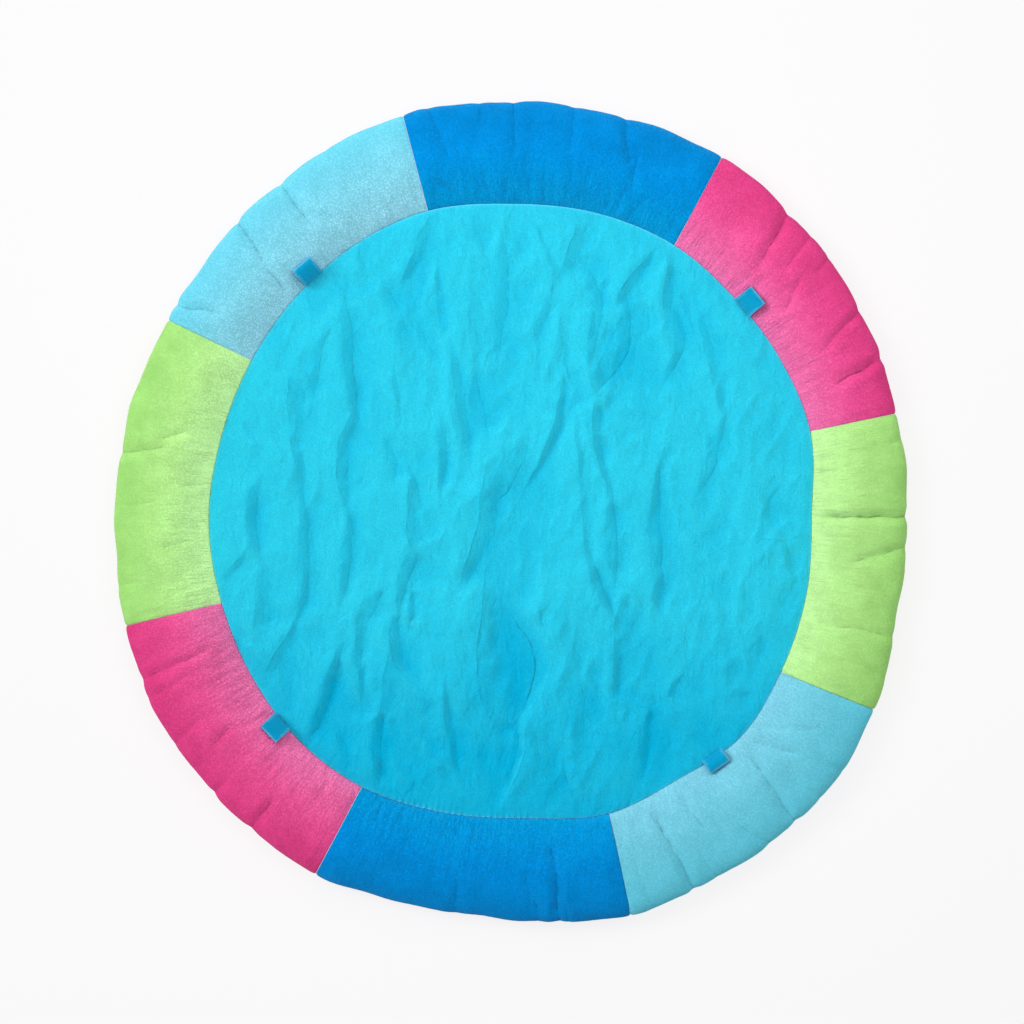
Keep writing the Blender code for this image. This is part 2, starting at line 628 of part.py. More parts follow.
def ribbon_loop(loop, ground):
    """The points and faces of a folded ribbon loop that lies on the rim."""
    root = polar(loop.seam_deg, on_curve(INNER_KNOTS, loop.seam_deg) + CLEARANCE)
    way = polar(loop.points_deg, 1.0)
    side_way = Vector((-way.y, way.x))

    def surface(along, aside):
        plan = root + way * along + side_way * aside
        spot = ground.ray_cast(Vector((plan.x, plan.y, ABOVE_ALL)), Vector((0.0, 0.0, -1.0)))[0]
        return max(spot.z, SEAM_HEIGHT) if spot else SEAM_HEIGHT

    slope_reach = 0.0
    marks = [(0.0, 0.0)]
    along = 0.0
    while along < loop.reach:
        rise = surface(along + SLOPE_STEP, 0.0) - surface(along, 0.0)
        slope_reach += math.hypot(SLOPE_STEP, rise)
        along += SLOPE_STEP
        marks.append((slope_reach, along))

    def plan_reach(arc):
        for before, after in zip(marks, marks[1:]):
            if arc <= after[0]:
                return before[1] + (arc - before[0]) / (after[0] - before[0])
        return marks[-1][1]

    def lie(arc, above, aside):
        along = max(plan_reach(max(arc, 0.0)), 0.0)
        slope = surface(along + SLOPE_SPAN, 0.0) - surface(max(along - SLOPE_SPAN, 0.0), 0.0)
        slope /= SLOPE_SPAN + min(along, SLOPE_SPAN)
        length = math.hypot(1.0, slope)
        rise = surface(along, aside) - surface(along, 0.0)
        rise *= 1.0 - min(above / (loop.eye + 2.0 * RIBBON), 1.0)
        off = above + LOOP_LIFT
        out = along + min(arc, 0.0) - slope / length * off
        height = surface(along, 0.0) + rise + off / length
        plan = root + way * out + side_way * aside
        return Vector((plan.x, plan.y, height))

    outer, eye = loop_outline(loop, slope_reach)
    section = outer + eye
    verts = []
    for station in range(LOOP_STATIONS):
        across = station / (LOOP_STATIONS - 1) - 0.5
        for arc, above in section:
            narrow = 1.0 + (LOOP_TAPER - 1.0) * min(max(arc / slope_reach, 0.0), 1.0)
            verts.append(lie(arc, above, across * LOOP_WIDTH * narrow))
    size = len(section)
    around = len(outer)
    faces = []
    for station in range(LOOP_STATIONS - 1):
        low = station * size
        high = low + size
        for first, count in ((0, around), (around, len(eye))):
            for place in range(count):
                after = first + (place + 1) % count
                faces.append((low + first + place, low + after, high + after, high + first + place))
    for low in (0, (LOOP_STATIONS - 1) * size):
        for place in range(len(eye) - 1):
            faces.append((low + place, low + place + 1,
                          low + around + place + 1, low + around + place))
        last = around - 1
        faces.append((low + last - 1, low + last, low + around, low + size - 1))
        faces.append((low + last, low, low + around))
    return verts, faces


def cloth_material(name, colour, roughness):
    material = bpy.data.materials.new(name)
    material.use_nodes = True
    shader = material.node_tree.nodes["Principled BSDF"]
    shader.inputs["Base Color"].default_value = (*colour, 1.0)
    shader.inputs["Roughness"].default_value = roughness
    shader.inputs["Metallic"].default_value = 0.0
    return material


def make_object(name, shape, material, parent):
    """One closed piece in metres, shaded smooth but for its sharp edges."""
    verts, faces = shape
    mesh = bpy.data.meshes.new(name)
    mesh.from_pydata([vert * MM for vert in verts], [], faces)
    work = bmesh.new()
    work.from_mesh(mesh)
    bmesh.ops.recalc_face_normals(work, faces=work.faces)
    work.to_mesh(mesh)
    work.free()
    mesh.shade_smooth()
    mesh.set_sharp_from_angle(angle=math.radians(SHARP_DEG))
    mesh.materials.append(material)
    obj = bpy.data.objects.new(name, mesh)
    obj.parent = parent
    bpy.context.scene.collection.objects.link(obj)
    return obj


def lying_surface(shapes):
    """The upper surface that the loops lie on, for casting rays down to it."""
    verts = []
    faces = []
    for shape_verts, shape_faces in shapes:
        first = len(verts)
        verts += shape_verts
        faces += [tuple(first + corner for corner in face) for face in shape_faces]
    return BVHTree.FromPolygons(verts, faces)


def build():
    clear_scene()
    mat = bpy.data.objects.new("mat", None)
    bpy.context.scene.collection.objects.link(mat)
    mat.rotation_euler.z = math.radians(TURN_DEG)
    mat.location = (MIDDLE_MM[0] * MM, MIDDLE_MM[1] * MM, 0.0)
    fleece = {}
    for section in SECTIONS:
        if section.colour not in fleece:
            hue = section.name.split("_")[1]
            fleece[section.colour] = cloth_material("fleece_" + hue, section.colour, 0.9)
    cotton = cloth_material("cotton", TURQUOISE, 0.8)
    ribbon = cloth_material("ribbon", RIBBON_BLUE, 0.7)
    shapes = [rim_section(index) for index in range(len(SECTIONS))]
    for section, shape in zip(SECTIONS, shapes):
        make_object(section.name, shape, fleece[section.colour], mat)
    middle = middle_piece()
    make_object("centre", middle, cotton, mat)
    ground = lying_surface(shapes + [middle])
    for loop in LOOPS:
        make_object(loop.name, ribbon_loop(loop, ground), ribbon, mat)


build()
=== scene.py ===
"""The looks of a round padded play mat for a baby, laid flat and seen from straight above.

Eight stuffed fleece sections make the rim, a lightly wadded cotton piece fills the middle, and four
folded ribbon loops lie outwards over the rim. Each piece repeats the sizes of its solid and adds
what the eye sees: the small puckers, the fine creases, the nap, the weave and the stitches.

Plan sizes are millimetres and degrees from the middle of the mat, with the mat as the camera sees
it. in_row() turns them by TURN_DEG and moves them into the row frame, in metres.
"""
import math
from collections import namedtuple

import bmesh
import bpy
import numpy as np
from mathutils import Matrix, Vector, noise
from mathutils.bvhtree import BVHTree


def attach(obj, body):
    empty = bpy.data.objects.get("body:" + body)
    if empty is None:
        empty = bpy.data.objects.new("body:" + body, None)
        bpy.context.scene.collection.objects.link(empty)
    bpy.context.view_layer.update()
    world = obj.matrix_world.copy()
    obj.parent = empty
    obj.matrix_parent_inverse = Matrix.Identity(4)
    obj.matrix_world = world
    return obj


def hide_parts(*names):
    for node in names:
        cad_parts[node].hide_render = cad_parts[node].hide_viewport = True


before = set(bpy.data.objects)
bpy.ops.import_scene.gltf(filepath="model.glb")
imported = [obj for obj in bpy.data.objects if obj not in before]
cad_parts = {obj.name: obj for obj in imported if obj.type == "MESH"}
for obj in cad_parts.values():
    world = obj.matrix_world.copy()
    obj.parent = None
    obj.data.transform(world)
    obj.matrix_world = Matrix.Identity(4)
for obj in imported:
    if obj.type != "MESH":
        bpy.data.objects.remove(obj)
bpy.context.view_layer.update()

MM = 0.001
TURN_DEG = -40.0
MIDDLE_MM = (1.05, 11.3)
SHARP_DEG = 50.0

# Rim, in millimetres
SEAM_HEIGHT = 7.0
CREST_SHARE = 0.5
INNER_EASE = 1.15
OUTER_EASE = 1.15
SIDE_SHARE = 0.42
SIDE_FULLNESS = 2.3
GROUND_INSET = 13.0
SEAM_DIP = 4.5
SEAM_DIP_REACH = 10.0
SEAM_ROLL = 1.8
SEAM_ROLL_REACH = 1.5
SEAM_COLUMNS = (0.0, 0.5, 1.1, 1.9, 2.9, 4.1)
COLUMN_PITCH = 1.6
PUCKER_FADE = 15.0
PUCKER_FADE_SHARE = 0.4
PUCKER_SHARPNESS = 2.2
PUCKER_CREASE = 0.33
PUCKER_SWELL = 1.3
LINE_REACH = 3.6
LINE_SPAN = 5.0
OPEN_PUCKER = 420.0
SIDE_CALM = 0.7
SIDE_CALM_START = 0.82
SOFT_PITCH = 34.0
SOFT_SWELL = 1.1
SOFT_SEED = 5.0
CRUMPLE_LENGTH = 30.0
CRUMPLE_PITCH = 9.0
CRUMPLE_SWELL = 1.5
CRUMPLE_CALM = 0.5
CRUMPLE_SEED = 7.0
GATHER_LENGTH = 26.0
GATHER_PITCH = 5.5
GATHER_REACH = 12.0
GATHER_SWELL = 0.9
GATHER_SEED = 3.0
SEAM_GATHER_SEED = 9.0
LOBE_LENGTH = 60.0
LOBE_PITCH = 17.0
LOBE_REACH = 45.0
LOBE_SWELL = 5.0
LOBE_SEED = 13.0
INNER_CALM = 10.0
MID_RIM = 385.0
CLEARANCE = 0.2
END_CLEARANCE = 0.17
LEAST_STEP = 1e-6
INNER_ROWS = 44
OUTER_ROWS = 46
UNDER_ROWS = 8

# Middle piece, in millimetres
WADDING = 9.0
EDGE_HEIGHT = 6.3
EDGE_REACH = 13.0
EDGE_ROLL = 1.6
EDGE_ROLL_REACH = 1.4
THINNEST = 2.2
SOFT_BOTTOM = 6.0
FADE_SHARE = 0.2
END_STRENGTH = 0.25
TAPER = 0.35
TAPER_EASES = (0.65, 1.0, 1.5)
END_REACH = 10.0
FOLD_REACH = 7.0
FOLD_EASE = 1.7
BROAD_SPREAD = 2.3
BROAD_SHARE = 1.6
FINE_SHARE = 0.9
SOFT_LINE = 0.25
TRACE_PITCH = 2.0
ROLLED_EDGE = (248.0, 275.0)
ROLLED_PITCH = 6.5
ROLLED_REACH = 7.0
ROLLED_SWELL = 1.6
# Painted highlight along the middle piece's edge at the seam, strongest on the rolled stretch.
EDGE_HIGHLIGHT_REACH = 1.0
EDGE_HIGHLIGHT_SHARE = 0.7
# Painted shade in the cotton's colour: in its hollows, on flanks that fall away from the key lamp, and
# towards the bottom of the mat.
HOLLOW_SHADE_START = 10.5
HOLLOW_SHADE_SPAN = 20.0
FLANK_SHADE = 0.04
SHADED_START = 60.0
SHADED_SPAN = 230.0
SHADED_SHARE = 0.7
RINGS = 150
EDGE_RINGS = (6.0, 4.2, 2.7, 1.5, 0.6, 0.0)
MID_SEAM = 332.0

# Ribbon loops, in millimetres
RIBBON = 1.3
LOOP_WIDTH = 25.0
LOOP_TAPER = 0.94
LOOP_LIFT = 0.35
LOOP_STATIONS = 41
# Painted highlight along the ribbon's long edges and its outer fold.
SELVEDGE_HIGHLIGHT = 0.6
FOLD_HIGHLIGHT_FADE = 3.0
RUN_POINTS = 20
FOLD_POINTS = 14
JOIN_LENGTH = 3.0
ROOT_RISE = 0.7
LEAN_EASE = 0.8
SLOPE_STEP = 1.0
SLOPE_SPAN = 2.0
ABOVE_ALL = 200.0
STITCH = 2.3
STITCH_GAP = 0.9
THREAD = 0.7
STITCH_INSET = 2.2
STITCH_RINGS = 5
STITCH_SIDES = 6
STITCH_END = 0.45
STITCH_SINK = 0.4

# Cloths, in millimetres, with the strengths of their shades and patterns as shares
SHINE = 0.03
SHEEN_ROUGHNESS = 0.45
GRAIN_PITCH = 1.6
UNEVEN_PITCH = 11.0
UNEVEN_SWING = 4.0
UNEVEN_START = -1.2
FAINTEST_LINE = 0.1
STRONGEST_LINE = 1.3
# Painted shade along the crease lines, per millimetre of a crease's depth.
LINE_SHADE = 0.036
LINE_HEIGHT = 0.3
NUB_PITCH = 2.3
NUB_SHARE = 0.35
MOTTLE_PITCH = 24.0
MOTTLE_SHARE = 0.24
MOTTLE_DRIFT = 0.5
OUTER_STOP = 0.04
INNER_STOP = 0.96
FROST_EASE = 1.5
# Painted light: how far the nap's brightness is lifted where it is painted pale.
PAINTED_LIGHT_LIFT = 0.21
DARKEST_SPECK = -0.07
SMOOTH_SPECKLE = 0.3
CREASE_PITCH = 5.0
CREASE_STRETCH = 0.2
CREASE_TOP = 0.6
CREASE_HEIGHT = 1.3
CREASE_OUTSIDE = 0.12
FLEECE_SHADE_WIDTH = 1.2
FLEECE_LINE_WIDTH = 1.5
FLEECE_GRAIN = 0.9
WAVE_SCALE = 0.314
WOVEN_ROUGHNESS = 0.6
WEAVE_MEAN = 0.3
SLUB_PITCH = 1.3
SLUB_STRETCH = 0.12
CLOUD_PITCH = 38.0
CLOUD_SHARE = 0.7
THREAD_SHARE = 0.5
SPECK_SHARE = 4.8
# Painted highlight: how much paler and greyer the painted edges are.
EDGE_HIGHLIGHT = 0.35
EDGE_HIGHLIGHT_FADE = 0.5
COTTON_SHADE = 0.25
COTTON_SHADE_WIDTH = 0.8
DRIFT_PITCH = 40.0
DRIFT_REACH = 0.03
VALLEY_STRETCH = 0.4
Valley = namedtuple("Valley", "pitch depth")
VALLEYS = (Valley(14.0, 1.5), Valley(5.5, 0.36))
TROUGH_WIDTH = 1.1
RIDGE_WIDTH = 1.2
RIDGE_SHARE = 1.1
SLUB_SHARE = 0.15
WEAVE_HEIGHT = 0.12
COTTON_GRAIN = 0.7
TWIST_PITCH = 0.4

# Stage, in metres and watts: lamps by azimuth on the mat and elevation in degrees
FLOOR_HALF = 20.0
FLOOR_DROP = -0.0004
WORLD_LIGHT = 0.41
FLOOR_COLOUR = (0.12, 0.118, 0.12, 1.0)
FLOOR_ROUGHNESS = 0.9
FLOOR_GLOW = 0.832
FLOOR_GLOW_COLOUR = (1.0, 0.99, 0.995, 1.0)
Lamp = namedtuple("Lamp", "name azimuth elevation distance size power")
LAMPS = (
    Lamp("key", 160.0, 42.0, 4.5, 1.7, 90.0),
    Lamp("overhead", 75.0, 70.0, 1.15, 1.2, 7.8),
)
SENSOR = 36.0
CAMERA_HEIGHT = 3.0
VIEW_WIDTH = 1.1095
VIEW_DEPTH = 100.0
CAMERA_SHIFT = (0.0011, -0.0011)

# One row for each way that folds and puckers wander from their courses: how far, and over what
# distance they change.
Wander = namedtuple("Wander", "reach pitch seeds")
WANDERS = (
    Wander(3.0, 30.0, (41.0, 43.0)),
    Wander(1.1, 12.0, (47.0, 53.0)),
)

# One row for each kind of crumple in the middle piece: how long and how wide its ridges are, how
# they slant, how high they stand, and whether they are sharp ridges or soft swells.
Crumple = namedtuple("Crumple", "length width slant_deg swell sharp seed")
CRUMPLES = (
    Crumple(110.0, 46.0, 8.0, 4.0, False, 11.0),
    Crumple(52.0, 24.0, -14.0, 3.2, True, 17.0),
    Crumple(30.0, 15.0, 22.0, 1.3, True, 23.0),
    Crumple(16.0, 9.0, -8.0, 0.5, False, 29.0),
    Crumple(8.0, 5.5, 30.0, 0.22, False, 31.0),
)

# One row for each rim section, anticlockwise. A section starts at the seam given by its two angles.
# The edges are distances at the start, at one third and at two thirds of the section, and the last
# column is how pale its nap is painted at the outer edge and at the inner seam: partly the frost of
# its nap, partly painted light that evens out the shade on the rim's slopes.
Section = namedtuple("Section", "name cloth outer_deg inner_deg outer_edge inner_edge crown frost")
SECTIONS = (
    Section("rim_pink_1", "fleece_pink", 14.2, 14.9,
            (429.0, 434.0, 437.5), (335.0, 334.5, 334.0), 42.0, (0.0, 0.6)),
    Section("rim_blue_1", "fleece_blue", 59.2, 58.4,
            (445.0, 440.5, 440.5), (337.5, 335.5, 332.5), 41.0, (0.0, 0.5)),
    Section("rim_aqua_1", "fleece_aqua", 105.3, 105.5,
            (443.0, 434.0, 428.0), (337.0, 334.0, 328.5), 40.0, (0.25, 0.82)),
    Section("rim_green_1", "fleece_green", 150.9, 149.9,
            (423.0, 424.0, 427.5), (324.5, 323.5, 327.0), 40.0, (0.0, 1.0)),
    Section("rim_pink_2", "fleece_pink", 196.6, 197.6,
            (432.5, 440.0, 442.0), (328.5, 332.5, 338.0), 43.0, (0.0, 0.75)),
    Section("rim_blue_2", "fleece_blue", 241.7, 241.6,
            (443.0, 437.5, 441.0), (339.5, 334.5, 333.0), 41.0, (0.0, 0.55)),
    Section("rim_aqua_2", "fleece_aqua", 286.5, 288.0,
            (453.0, 453.5, 454.0), (344.0, 342.0, 348.5), 44.0, (0.0, 0.4)),
    Section("rim_green_2", "fleece_green", 331.3, 329.2,
            (446.0, 431.0, 426.0), (340.0, 332.0, 325.5), 40.0, (0.0, 0.35)),
)

# One row for each fleece: its colours at the outer edge, in the middle and at the inner seam, as a
# display shows them, the paler inner ones partly its own and partly painted sheen, how strongly its
# grain shows, and how much its colour fades where its nap is painted pale.
Fleece = namedtuple("Fleece", "name outer middle inner speckle faded")
FLEECES = (
    Fleece("fleece_pink", (222, 66, 136), (228, 76, 150), (227, 98, 164), 1.25, 0.14),
    Fleece("fleece_blue", (0, 139, 210), (0, 148, 218), (0, 153, 210), 2.2, 0.0),
    Fleece("fleece_aqua", (102, 210, 230), (110, 206, 224), (118, 203, 222), 1.2, 0.28),
    Fleece("fleece_green", (167, 222, 126), (179, 226, 141), (192, 235, 160), 1.0, 0.06),
)

# One row for each woven cloth: its colour, the deeper one of its clouds and of the painted shade in
# its hollows, the pitch of its threads in millimetres, how much they vary, and how crumpled it is.
Woven = namedtuple("Woven", "name colour deep pitch variation crumple")
COTTON = Woven("cotton", (48, 211, 234), (4, 190, 227), 0.45, 0.12, 1.0)
RIBBON_CLOTH = Woven("ribbon", (6, 165, 208), (12, 174, 214), 0.4, 0.12, 0.0)
THREAD_COLOURS = ((60, 180, 225), (130, 220, 245))

# One row for each wave of unevenness in the rim's stuffing: its swell in millimetres, how often it
# comes round the mat, how it drifts across the rim, and where it starts, in radians.
Wave = namedtuple("Wave", "swell waves drift start")
STUFFING = (
    Wave(0.9, 9.0, 0.0, 1.3),
    Wave(0.8, 23.0, 5.0, 0.0),
    Wave(0.5, 41.0, -4.0, 0.7),
)

# One row for each pucker of the rim: where it starts near the outer edge and ends near the inner
# one, its depth, and the half width of its groove. A negative depth is a ridge. The main puckers,
# which the solids have too, come first.
Pucker = namedtuple("Pucker", "outer_deg outer_mm inner_deg inner_mm depth half_width")
PUCKERS = tuple(Pucker(*row) for row in (
    (22.5, 440, 21.3, 367, 5, 6),
    (29.8, 432, 26.7, 367, 3.2, 6),
    (39.4, 402, 35.6, 358, 3.5, 6),
    (42.3, 421, 41, 380, 2, 5),
    (47, 440, 44.1, 362, 5, 6.5),
    (70.9, 416, 69, 356, 2.8, 5),
    (73.6, 440, 71, 383, 3.5, 6),
    (81, 427, 80.3, 383, 2.2, 6),
    (89.5, 443, 89.5, 373, 3.2, 6),
    (94.4, 443, 94.4, 400, 2.2, 6),
    (101.3, 432, 100, 378, 2.5, 6),
    (122.7, 383, 120.7, 356, 2, 5),
    (125.2, 423, 124.7, 365, 4.5, 6),
    (133.6, 421, 136.3, 333, 5, 6),
    (148.4, 425, 145.7, 373, 4.2, 6),
    (169, 394, 166, 351, 2.8, 6),
    (171.4, 424, 169.2, 369, 3.6, 6),
    (186, 380, 185, 340, 2, 6),
    (190.8, 431, 190.6, 400, 2, 6),
    (204.5, 432, 204.7, 351, 3.6, 6),
    (218.5, 412, 217.5, 372, 3, 5.5),
    (223.3, 442, 223.3, 412, 2.5, 6),
    (230.7, 441, 230.5, 394, 3.4, 6),
    (262, 430, 261.5, 380, 2, 7),
    (273.9, 441, 273.7, 415, 2.4, 6),
    (276.8, 443, 277, 354, 4.6, 6),
    (296, 448, 295, 354, 5, 6.5),
    (301.6, 405, 300.3, 354, 3, 6),
    (307.6, 448, 305.8, 410, 2.5, 6),
    (312.6, 448, 314.3, 364, 5, 6.5),
    (319.7, 405, 316.4, 356, 3.2, 6),
    (341.8, 430, 340, 346, 3.2, 7),
    (354.8, 427, 351.2, 363, 3.2, 6),
    (359.2, 427, 358.6, 332, 6, 6),
    (10.6, 427, 10.2, 410, 1.4, 5),
    (21.5, 446, 21.6, 424, 1.8, 4),
    (32.3, 394, 32, 383, 1.4, 4.5),
    (38.4, 434, 38, 408, 1.6, 4),
    (45.6, 400, 43.2, 352, -1.6, 5),
    (99, 343, 102.4, 364, 1.3, 2.6),
    (104, 370, 99.8, 346, 1.1, 2.6),
    (117, 425, 115.2, 380, 1.2, 5),
    (120.5, 357, 120.2, 334, -1.2, 4),
    (128.7, 402, 128.2, 351, 1.3, 3),
    (138.2, 391, 137.5, 346, 1.2, 4),
    (148.5, 436, 147.8, 416, 1.8, 4),
    (151.5, 410, 152, 385, 1, 4),
    (156, 420, 155.2, 398, 1, 4),
    (179, 416, 178.4, 372, 1.2, 5),
    (207.2, 420, 206.8, 376, 1.2, 4),
    (214.4, 426, 213.8, 390, 1.4, 4.5),
    (218.8, 357, 218.6, 336, -1.2, 4),
    (223.3, 450, 223.3, 424, 1.8, 4),
    (228.2, 394, 227.9, 342, -1.4, 4.5),
    (232.6, 388, 232.2, 366, 1.4, 5),
    (237.6, 368, 237.2, 342, -1.2, 4),
    (272.6, 420, 272.4, 380, 1.2, 5),
    (278.1, 450, 278, 424, 1.8, 4),
    (289.6, 436, 289, 378, 1, 4.5),
    (299.3, 452, 298.7, 412, 1.4, 4),
    (317.1, 452, 317, 430, 1.6, 4),
    (318.9, 385, 316.5, 350, 1.3, 2.6),
    (313.9, 384, 315.9, 349, 1.3, 2.6),
    (321, 430, 318.8, 380, 1.2, 4.5),
    (325.8, 412, 318.4, 352, 1, 3.6),
    (336.2, 440, 335.7, 372, 1.1, 5),
    (348.2, 418, 347.4, 372, 1, 5),
    (357, 368, 356.8, 340, 1.3, 3.6),
    (358.7, 396, 358.6, 366, 3.2, 2.4),
))

# One row for each wrinkle of the middle piece. It runs from its top end through its middle to its
# bottom end, each in millimetres right of and above the mat's middle. The cloth falls by drop
# across flank, from a crest on the left to a trough on the right; a negative drop rises instead.
# The main wrinkles, which the solid has too, come first.
Wrinkle = namedtuple("Wrinkle", "top_x top_y middle_x middle_y bottom_x bottom_y flank drop")
WRINKLES = tuple(Wrinkle(*row) for row in (
    (-86, 318, -103, 275, -118, 240, 11, 5.2),
    (-138, 246, -122, 202, -97, 152, 14, 4.2),
    (-79, 262, -77, 222, -73, 186, 8, 2.9),
    (-181, 228, -175, 160, -170, 104, 12, 5.9),
    (-170, 104, -182, 58, -178, 6, 13, 5.5),
    (-196, 198, -212, 158, -216, 120, 13, 3.6),
    (-234, 152, -235, 104, -226, 18, 12, 4.4),
    (-226, 18, -224, -60, -232, -120, 12, 5.2),
    (-232, -120, -246, -150, -266, -182, 11, 4.2),
    (-272, 34, -281, -8, -268, -58, 11, 5.5),
    (-268, -58, -271, -92, -275, -136, 12, 3.1),
    (-178, 6, -176, -40, -184, -100, 11, 4.7),
    (-160, -104, -164, -150, -161, -204, 8, 4.9),
    (-184, -150, -200, -200, -221, -252, 11, 6.5),
    (-111, 42, -108, -10, -104, -40, 10, 4.7),
    (-104, -40, -116, -72, -122, -112, 12, 5.7),
    (-122, -112, -124, -150, -88, -200, 12, 5.5),
    (-137, -86, -150, -100, -158, -122, 12, 3.4),
    (-127, -156, -132, -190, -140, -220, 15, 3.4),
    (-142, -216, -144, -256, -147, -302, 11, 6),
    (-70, -176, -68, -230, -54, -296, 7, 3.4),
    (-75, 98, -74, 60, -76, 16, 10, 3.9),
    (-64, 176, -54, 118, -44, 54, 11, 4.2),
    (-40, 158, -37, 116, -29, 78, 15, 3.9),
    (-24, 44, -28, -20, -58, -84, 20, 7.2),
    (-12, 300, -9, 240, -18, 160, 14, 3.4),
    (72, 312, 70, 285, 56, 258, 14, 4.7),
    (77, 268, 92, 215, 80, 158, 13, 4.9),
    (156, 282, 130, 248, 114, 222, 11, 5.5),
    (124, 226, 118, 184, 85, 126, 24, 7.8),
    (94, 118, 94, 78, 108, 14, 10, 5.5),
    (108, 14, 108, -30, 110, -80, 14, 5.2),
    (174, 270, 171, 240, 168, 210, 11, 5.5),
    (168, 218, 183, 186, 165, 138, 13, 4.7),
    (200, 224, 218, 158, 231, 100, 9, 3.1),
    (232, 104, 216, 60, 198, 14, 15, 3.1),
    (56, 138, 44, 78, 8, 10, 8, 3.9),
    (16, 80, -2, 44, -22, 6, 22, 4.7),
    (71, 96, 78, 20, 86, -52, 8, 3.4),
    (86, -52, 96, -88, 114, -118, 8, 5.5),
    (126, -84, 119, -124, 114, -190, 13, 3.9),
    (160, 60, 156, -30, 164, -118, 14, 5.2),
    (-10, -96, 34, -152, 12, -226, 22, -8.5),
    (12, -222, 8, -262, -14, -322, 11, -6),
    (-22, -60, -16, -150, -14, -230, 44, 6.5),
    (71, -180, 71, -214, 76, -256, 16, 2.9),
    (58, -246, 66, -284, 77, -318, 12, -4.4),
    (150, -214, 146, -240, 140, -292, 10, 3.9),
    (262, -14, 286, -22, 318, -20, 20, 3.9),
    (-117, 218, -101, 195, -81, 155, 9, 2.6),
    (-254, 80, -248, 67, -240, 54, 6, 2),
    (-276, 132, -272, 126, -267, 120, 5, 1.8),
    (-279, 113, -276, 102, -272, 91, 6, 1.8),
    (-292, 98, -283, 84, -272, 70, 5, 2.2),
    (-129, 150, -124, 132, -121, 111, 5, 3),
    (-138, 77, -129, 54, -127, 32, 8, 2.4),
    (-110, 39, -104, 23, -97, 0, 5, 3),
    (-29, 168, -26, 163, -22, 159, 5, 1.6),
    (-167, 284, -163, 270, -158, 254, 6, 2.6),
    (-194, 254, -189, 242, -183, 230, 10, 2),
    (-67, 311, -69, 298, -70, 286, 9, 1.8),
    (-40, 309, -36, 289, -29, 275, 7, 2.2),
    (-44, 227, -40, 204, -36, 152, 11, 2.2),
    (-99, 254, -96, 247, -94, 241, 6, 2),
    (-6, 327, -2, 304, 5, 282, 10, 2.2),
    (25, 316, 39, 280, 55, 261, 5, 2.4),
    (105, 252, 101, 244, 98, 236, 5, 2.6),
    (182, 236, 189, 218, 198, 195, 5, 1.8),
    (223, 238, 229, 230, 234, 222, 8, 2),
    (78, 157, 83, 134, 89, 104, 7, -3),
    (37, 236, 31, 216, 29, 177, 11, 2),
    (46, 252, 41, 225, 34, 200, 5, 2),
    (54, 214, 58, 172, 64, 132, 5, 2),
    (103, 123, 104, 117, 105, 111, 5, 2),
    (171, 98, 169, 77, 164, 54, 10, 2),
    (114, 89, 115, 80, 116, 70, 8, 1.8),
    (-285, -45, -299, -61, -315, -79, 7, 3),
    (-107, -86, -107, -102, -110, -120, 5, 4.5),
    (-190, -236, -181, -261, -177, -282, 7, 2.4),
    (-24, -91, -33, -107, -31, -127, 14, 2.4),
    (-94, -248, -80, -260, -67, -273, 10, 1.8),
    (-104, -291, -110, -299, -117, -307, 5, 1.8),
    (-292, -143, -276, -145, -265, -152, 5, 1.8),
    (-272, -82, -272, -110, -272, -136, 10, 1.8),
    (-90, -195, -92, -209, -90, -223, 14, 1.8),
    (69, -27, 74, -35, 78, -43, 5, 2),
    (32, -104, 34, -127, 39, -136, 5, 2),
    (7, -239, 3, -261, -6, -302, 7, 3.5),
    (125, -214, 124, -220, 123, -227, 5, 2),
    (187, -173, 173, -193, 169, -204, 5, 2.2),
    (84, -168, 89, -180, 94, -193, 7, 2),
    (59, -114, 64, -150, 78, -173, 12, 2.2),
    (114, -168, 112, -193, 119, -204, 7, 2.4),
    (262, -195, 255, -197, 248, -198, 5, 1.6),
    (235, -159, 236, -175, 234, -191, 9, 1.8),
    (268, -136, 269, -146, 267, -155, 9, 1.8),
    (286, -20, 293, -14, 300, -9, 6, 2.2),
    (286, -20, 298, -45, 305, -86, 7, 2.4),
    (272, 182, 275, 173, 277, 163, 8, 1.8),
    (80, -25, 90, -72, 112, -114, 5, 2.2),
    (54, 134, 44, 78, 10, 14, 5, 2.2),
))

# One row for each ribbon loop: its place on the seam, the way it points, how far it reaches from
# the seam in plan, the height of its eye, and how far its upper layer leans over the middle piece.
Loop = namedtuple("Loop", "name seam_deg points_deg reach eye lean")
LOOPS = (
    Loop("loop_1", 130.3, 131.5, 20.0, 7.6, 0.0),
    Loop("loop_2", 41.3, 39.2, 20.5, 7.4, 0.5),
    Loop("loop_3", 222.6, 223.2, 20.0, 7.8, 0.5),
    Loop("loop_4", 309.4, 305.6, 13.0, 8.4, 7.0),
)


def polar(deg, distance):
    """Points of the plan at angles and distances from the middle of the mat."""
    turn = np.radians(deg)
    return np.stack((distance * np.cos(turn), distance * np.sin(turn)), axis=-1)


def smooth_step(value):
    value = np.clip(value, 0.0, 1.0)
    return value * value * (3.0 - 2.0 * value)


def ring_curve(edge, seam):
    """A closed curve through a section edge's distances, as (angle, distance) knots in order."""
    knots = []
    count = len(SECTIONS)
    for index, section in enumerate(SECTIONS):
        start = getattr(section, seam)
        end = getattr(SECTIONS[(index + 1) % count], seam)
        if end < start:
            end += 360.0
        distances = getattr(section, edge)
        for step, distance in enumerate(distances):
            knots.append((start + (end - start) * step / len(distances), distance))
    return sorted((deg % 360.0, distance) for deg, distance in knots)


OUTER_KNOTS = ring_curve("outer_edge", "outer_deg")
INNER_KNOTS = ring_curve("inner_edge", "inner_deg")
HALF_SECTION = 180.0 / len(SECTIONS)
CROWN_KNOTS = sorted(((s.outer_deg + HALF_SECTION) % 360.0, s.crown) for s in SECTIONS)


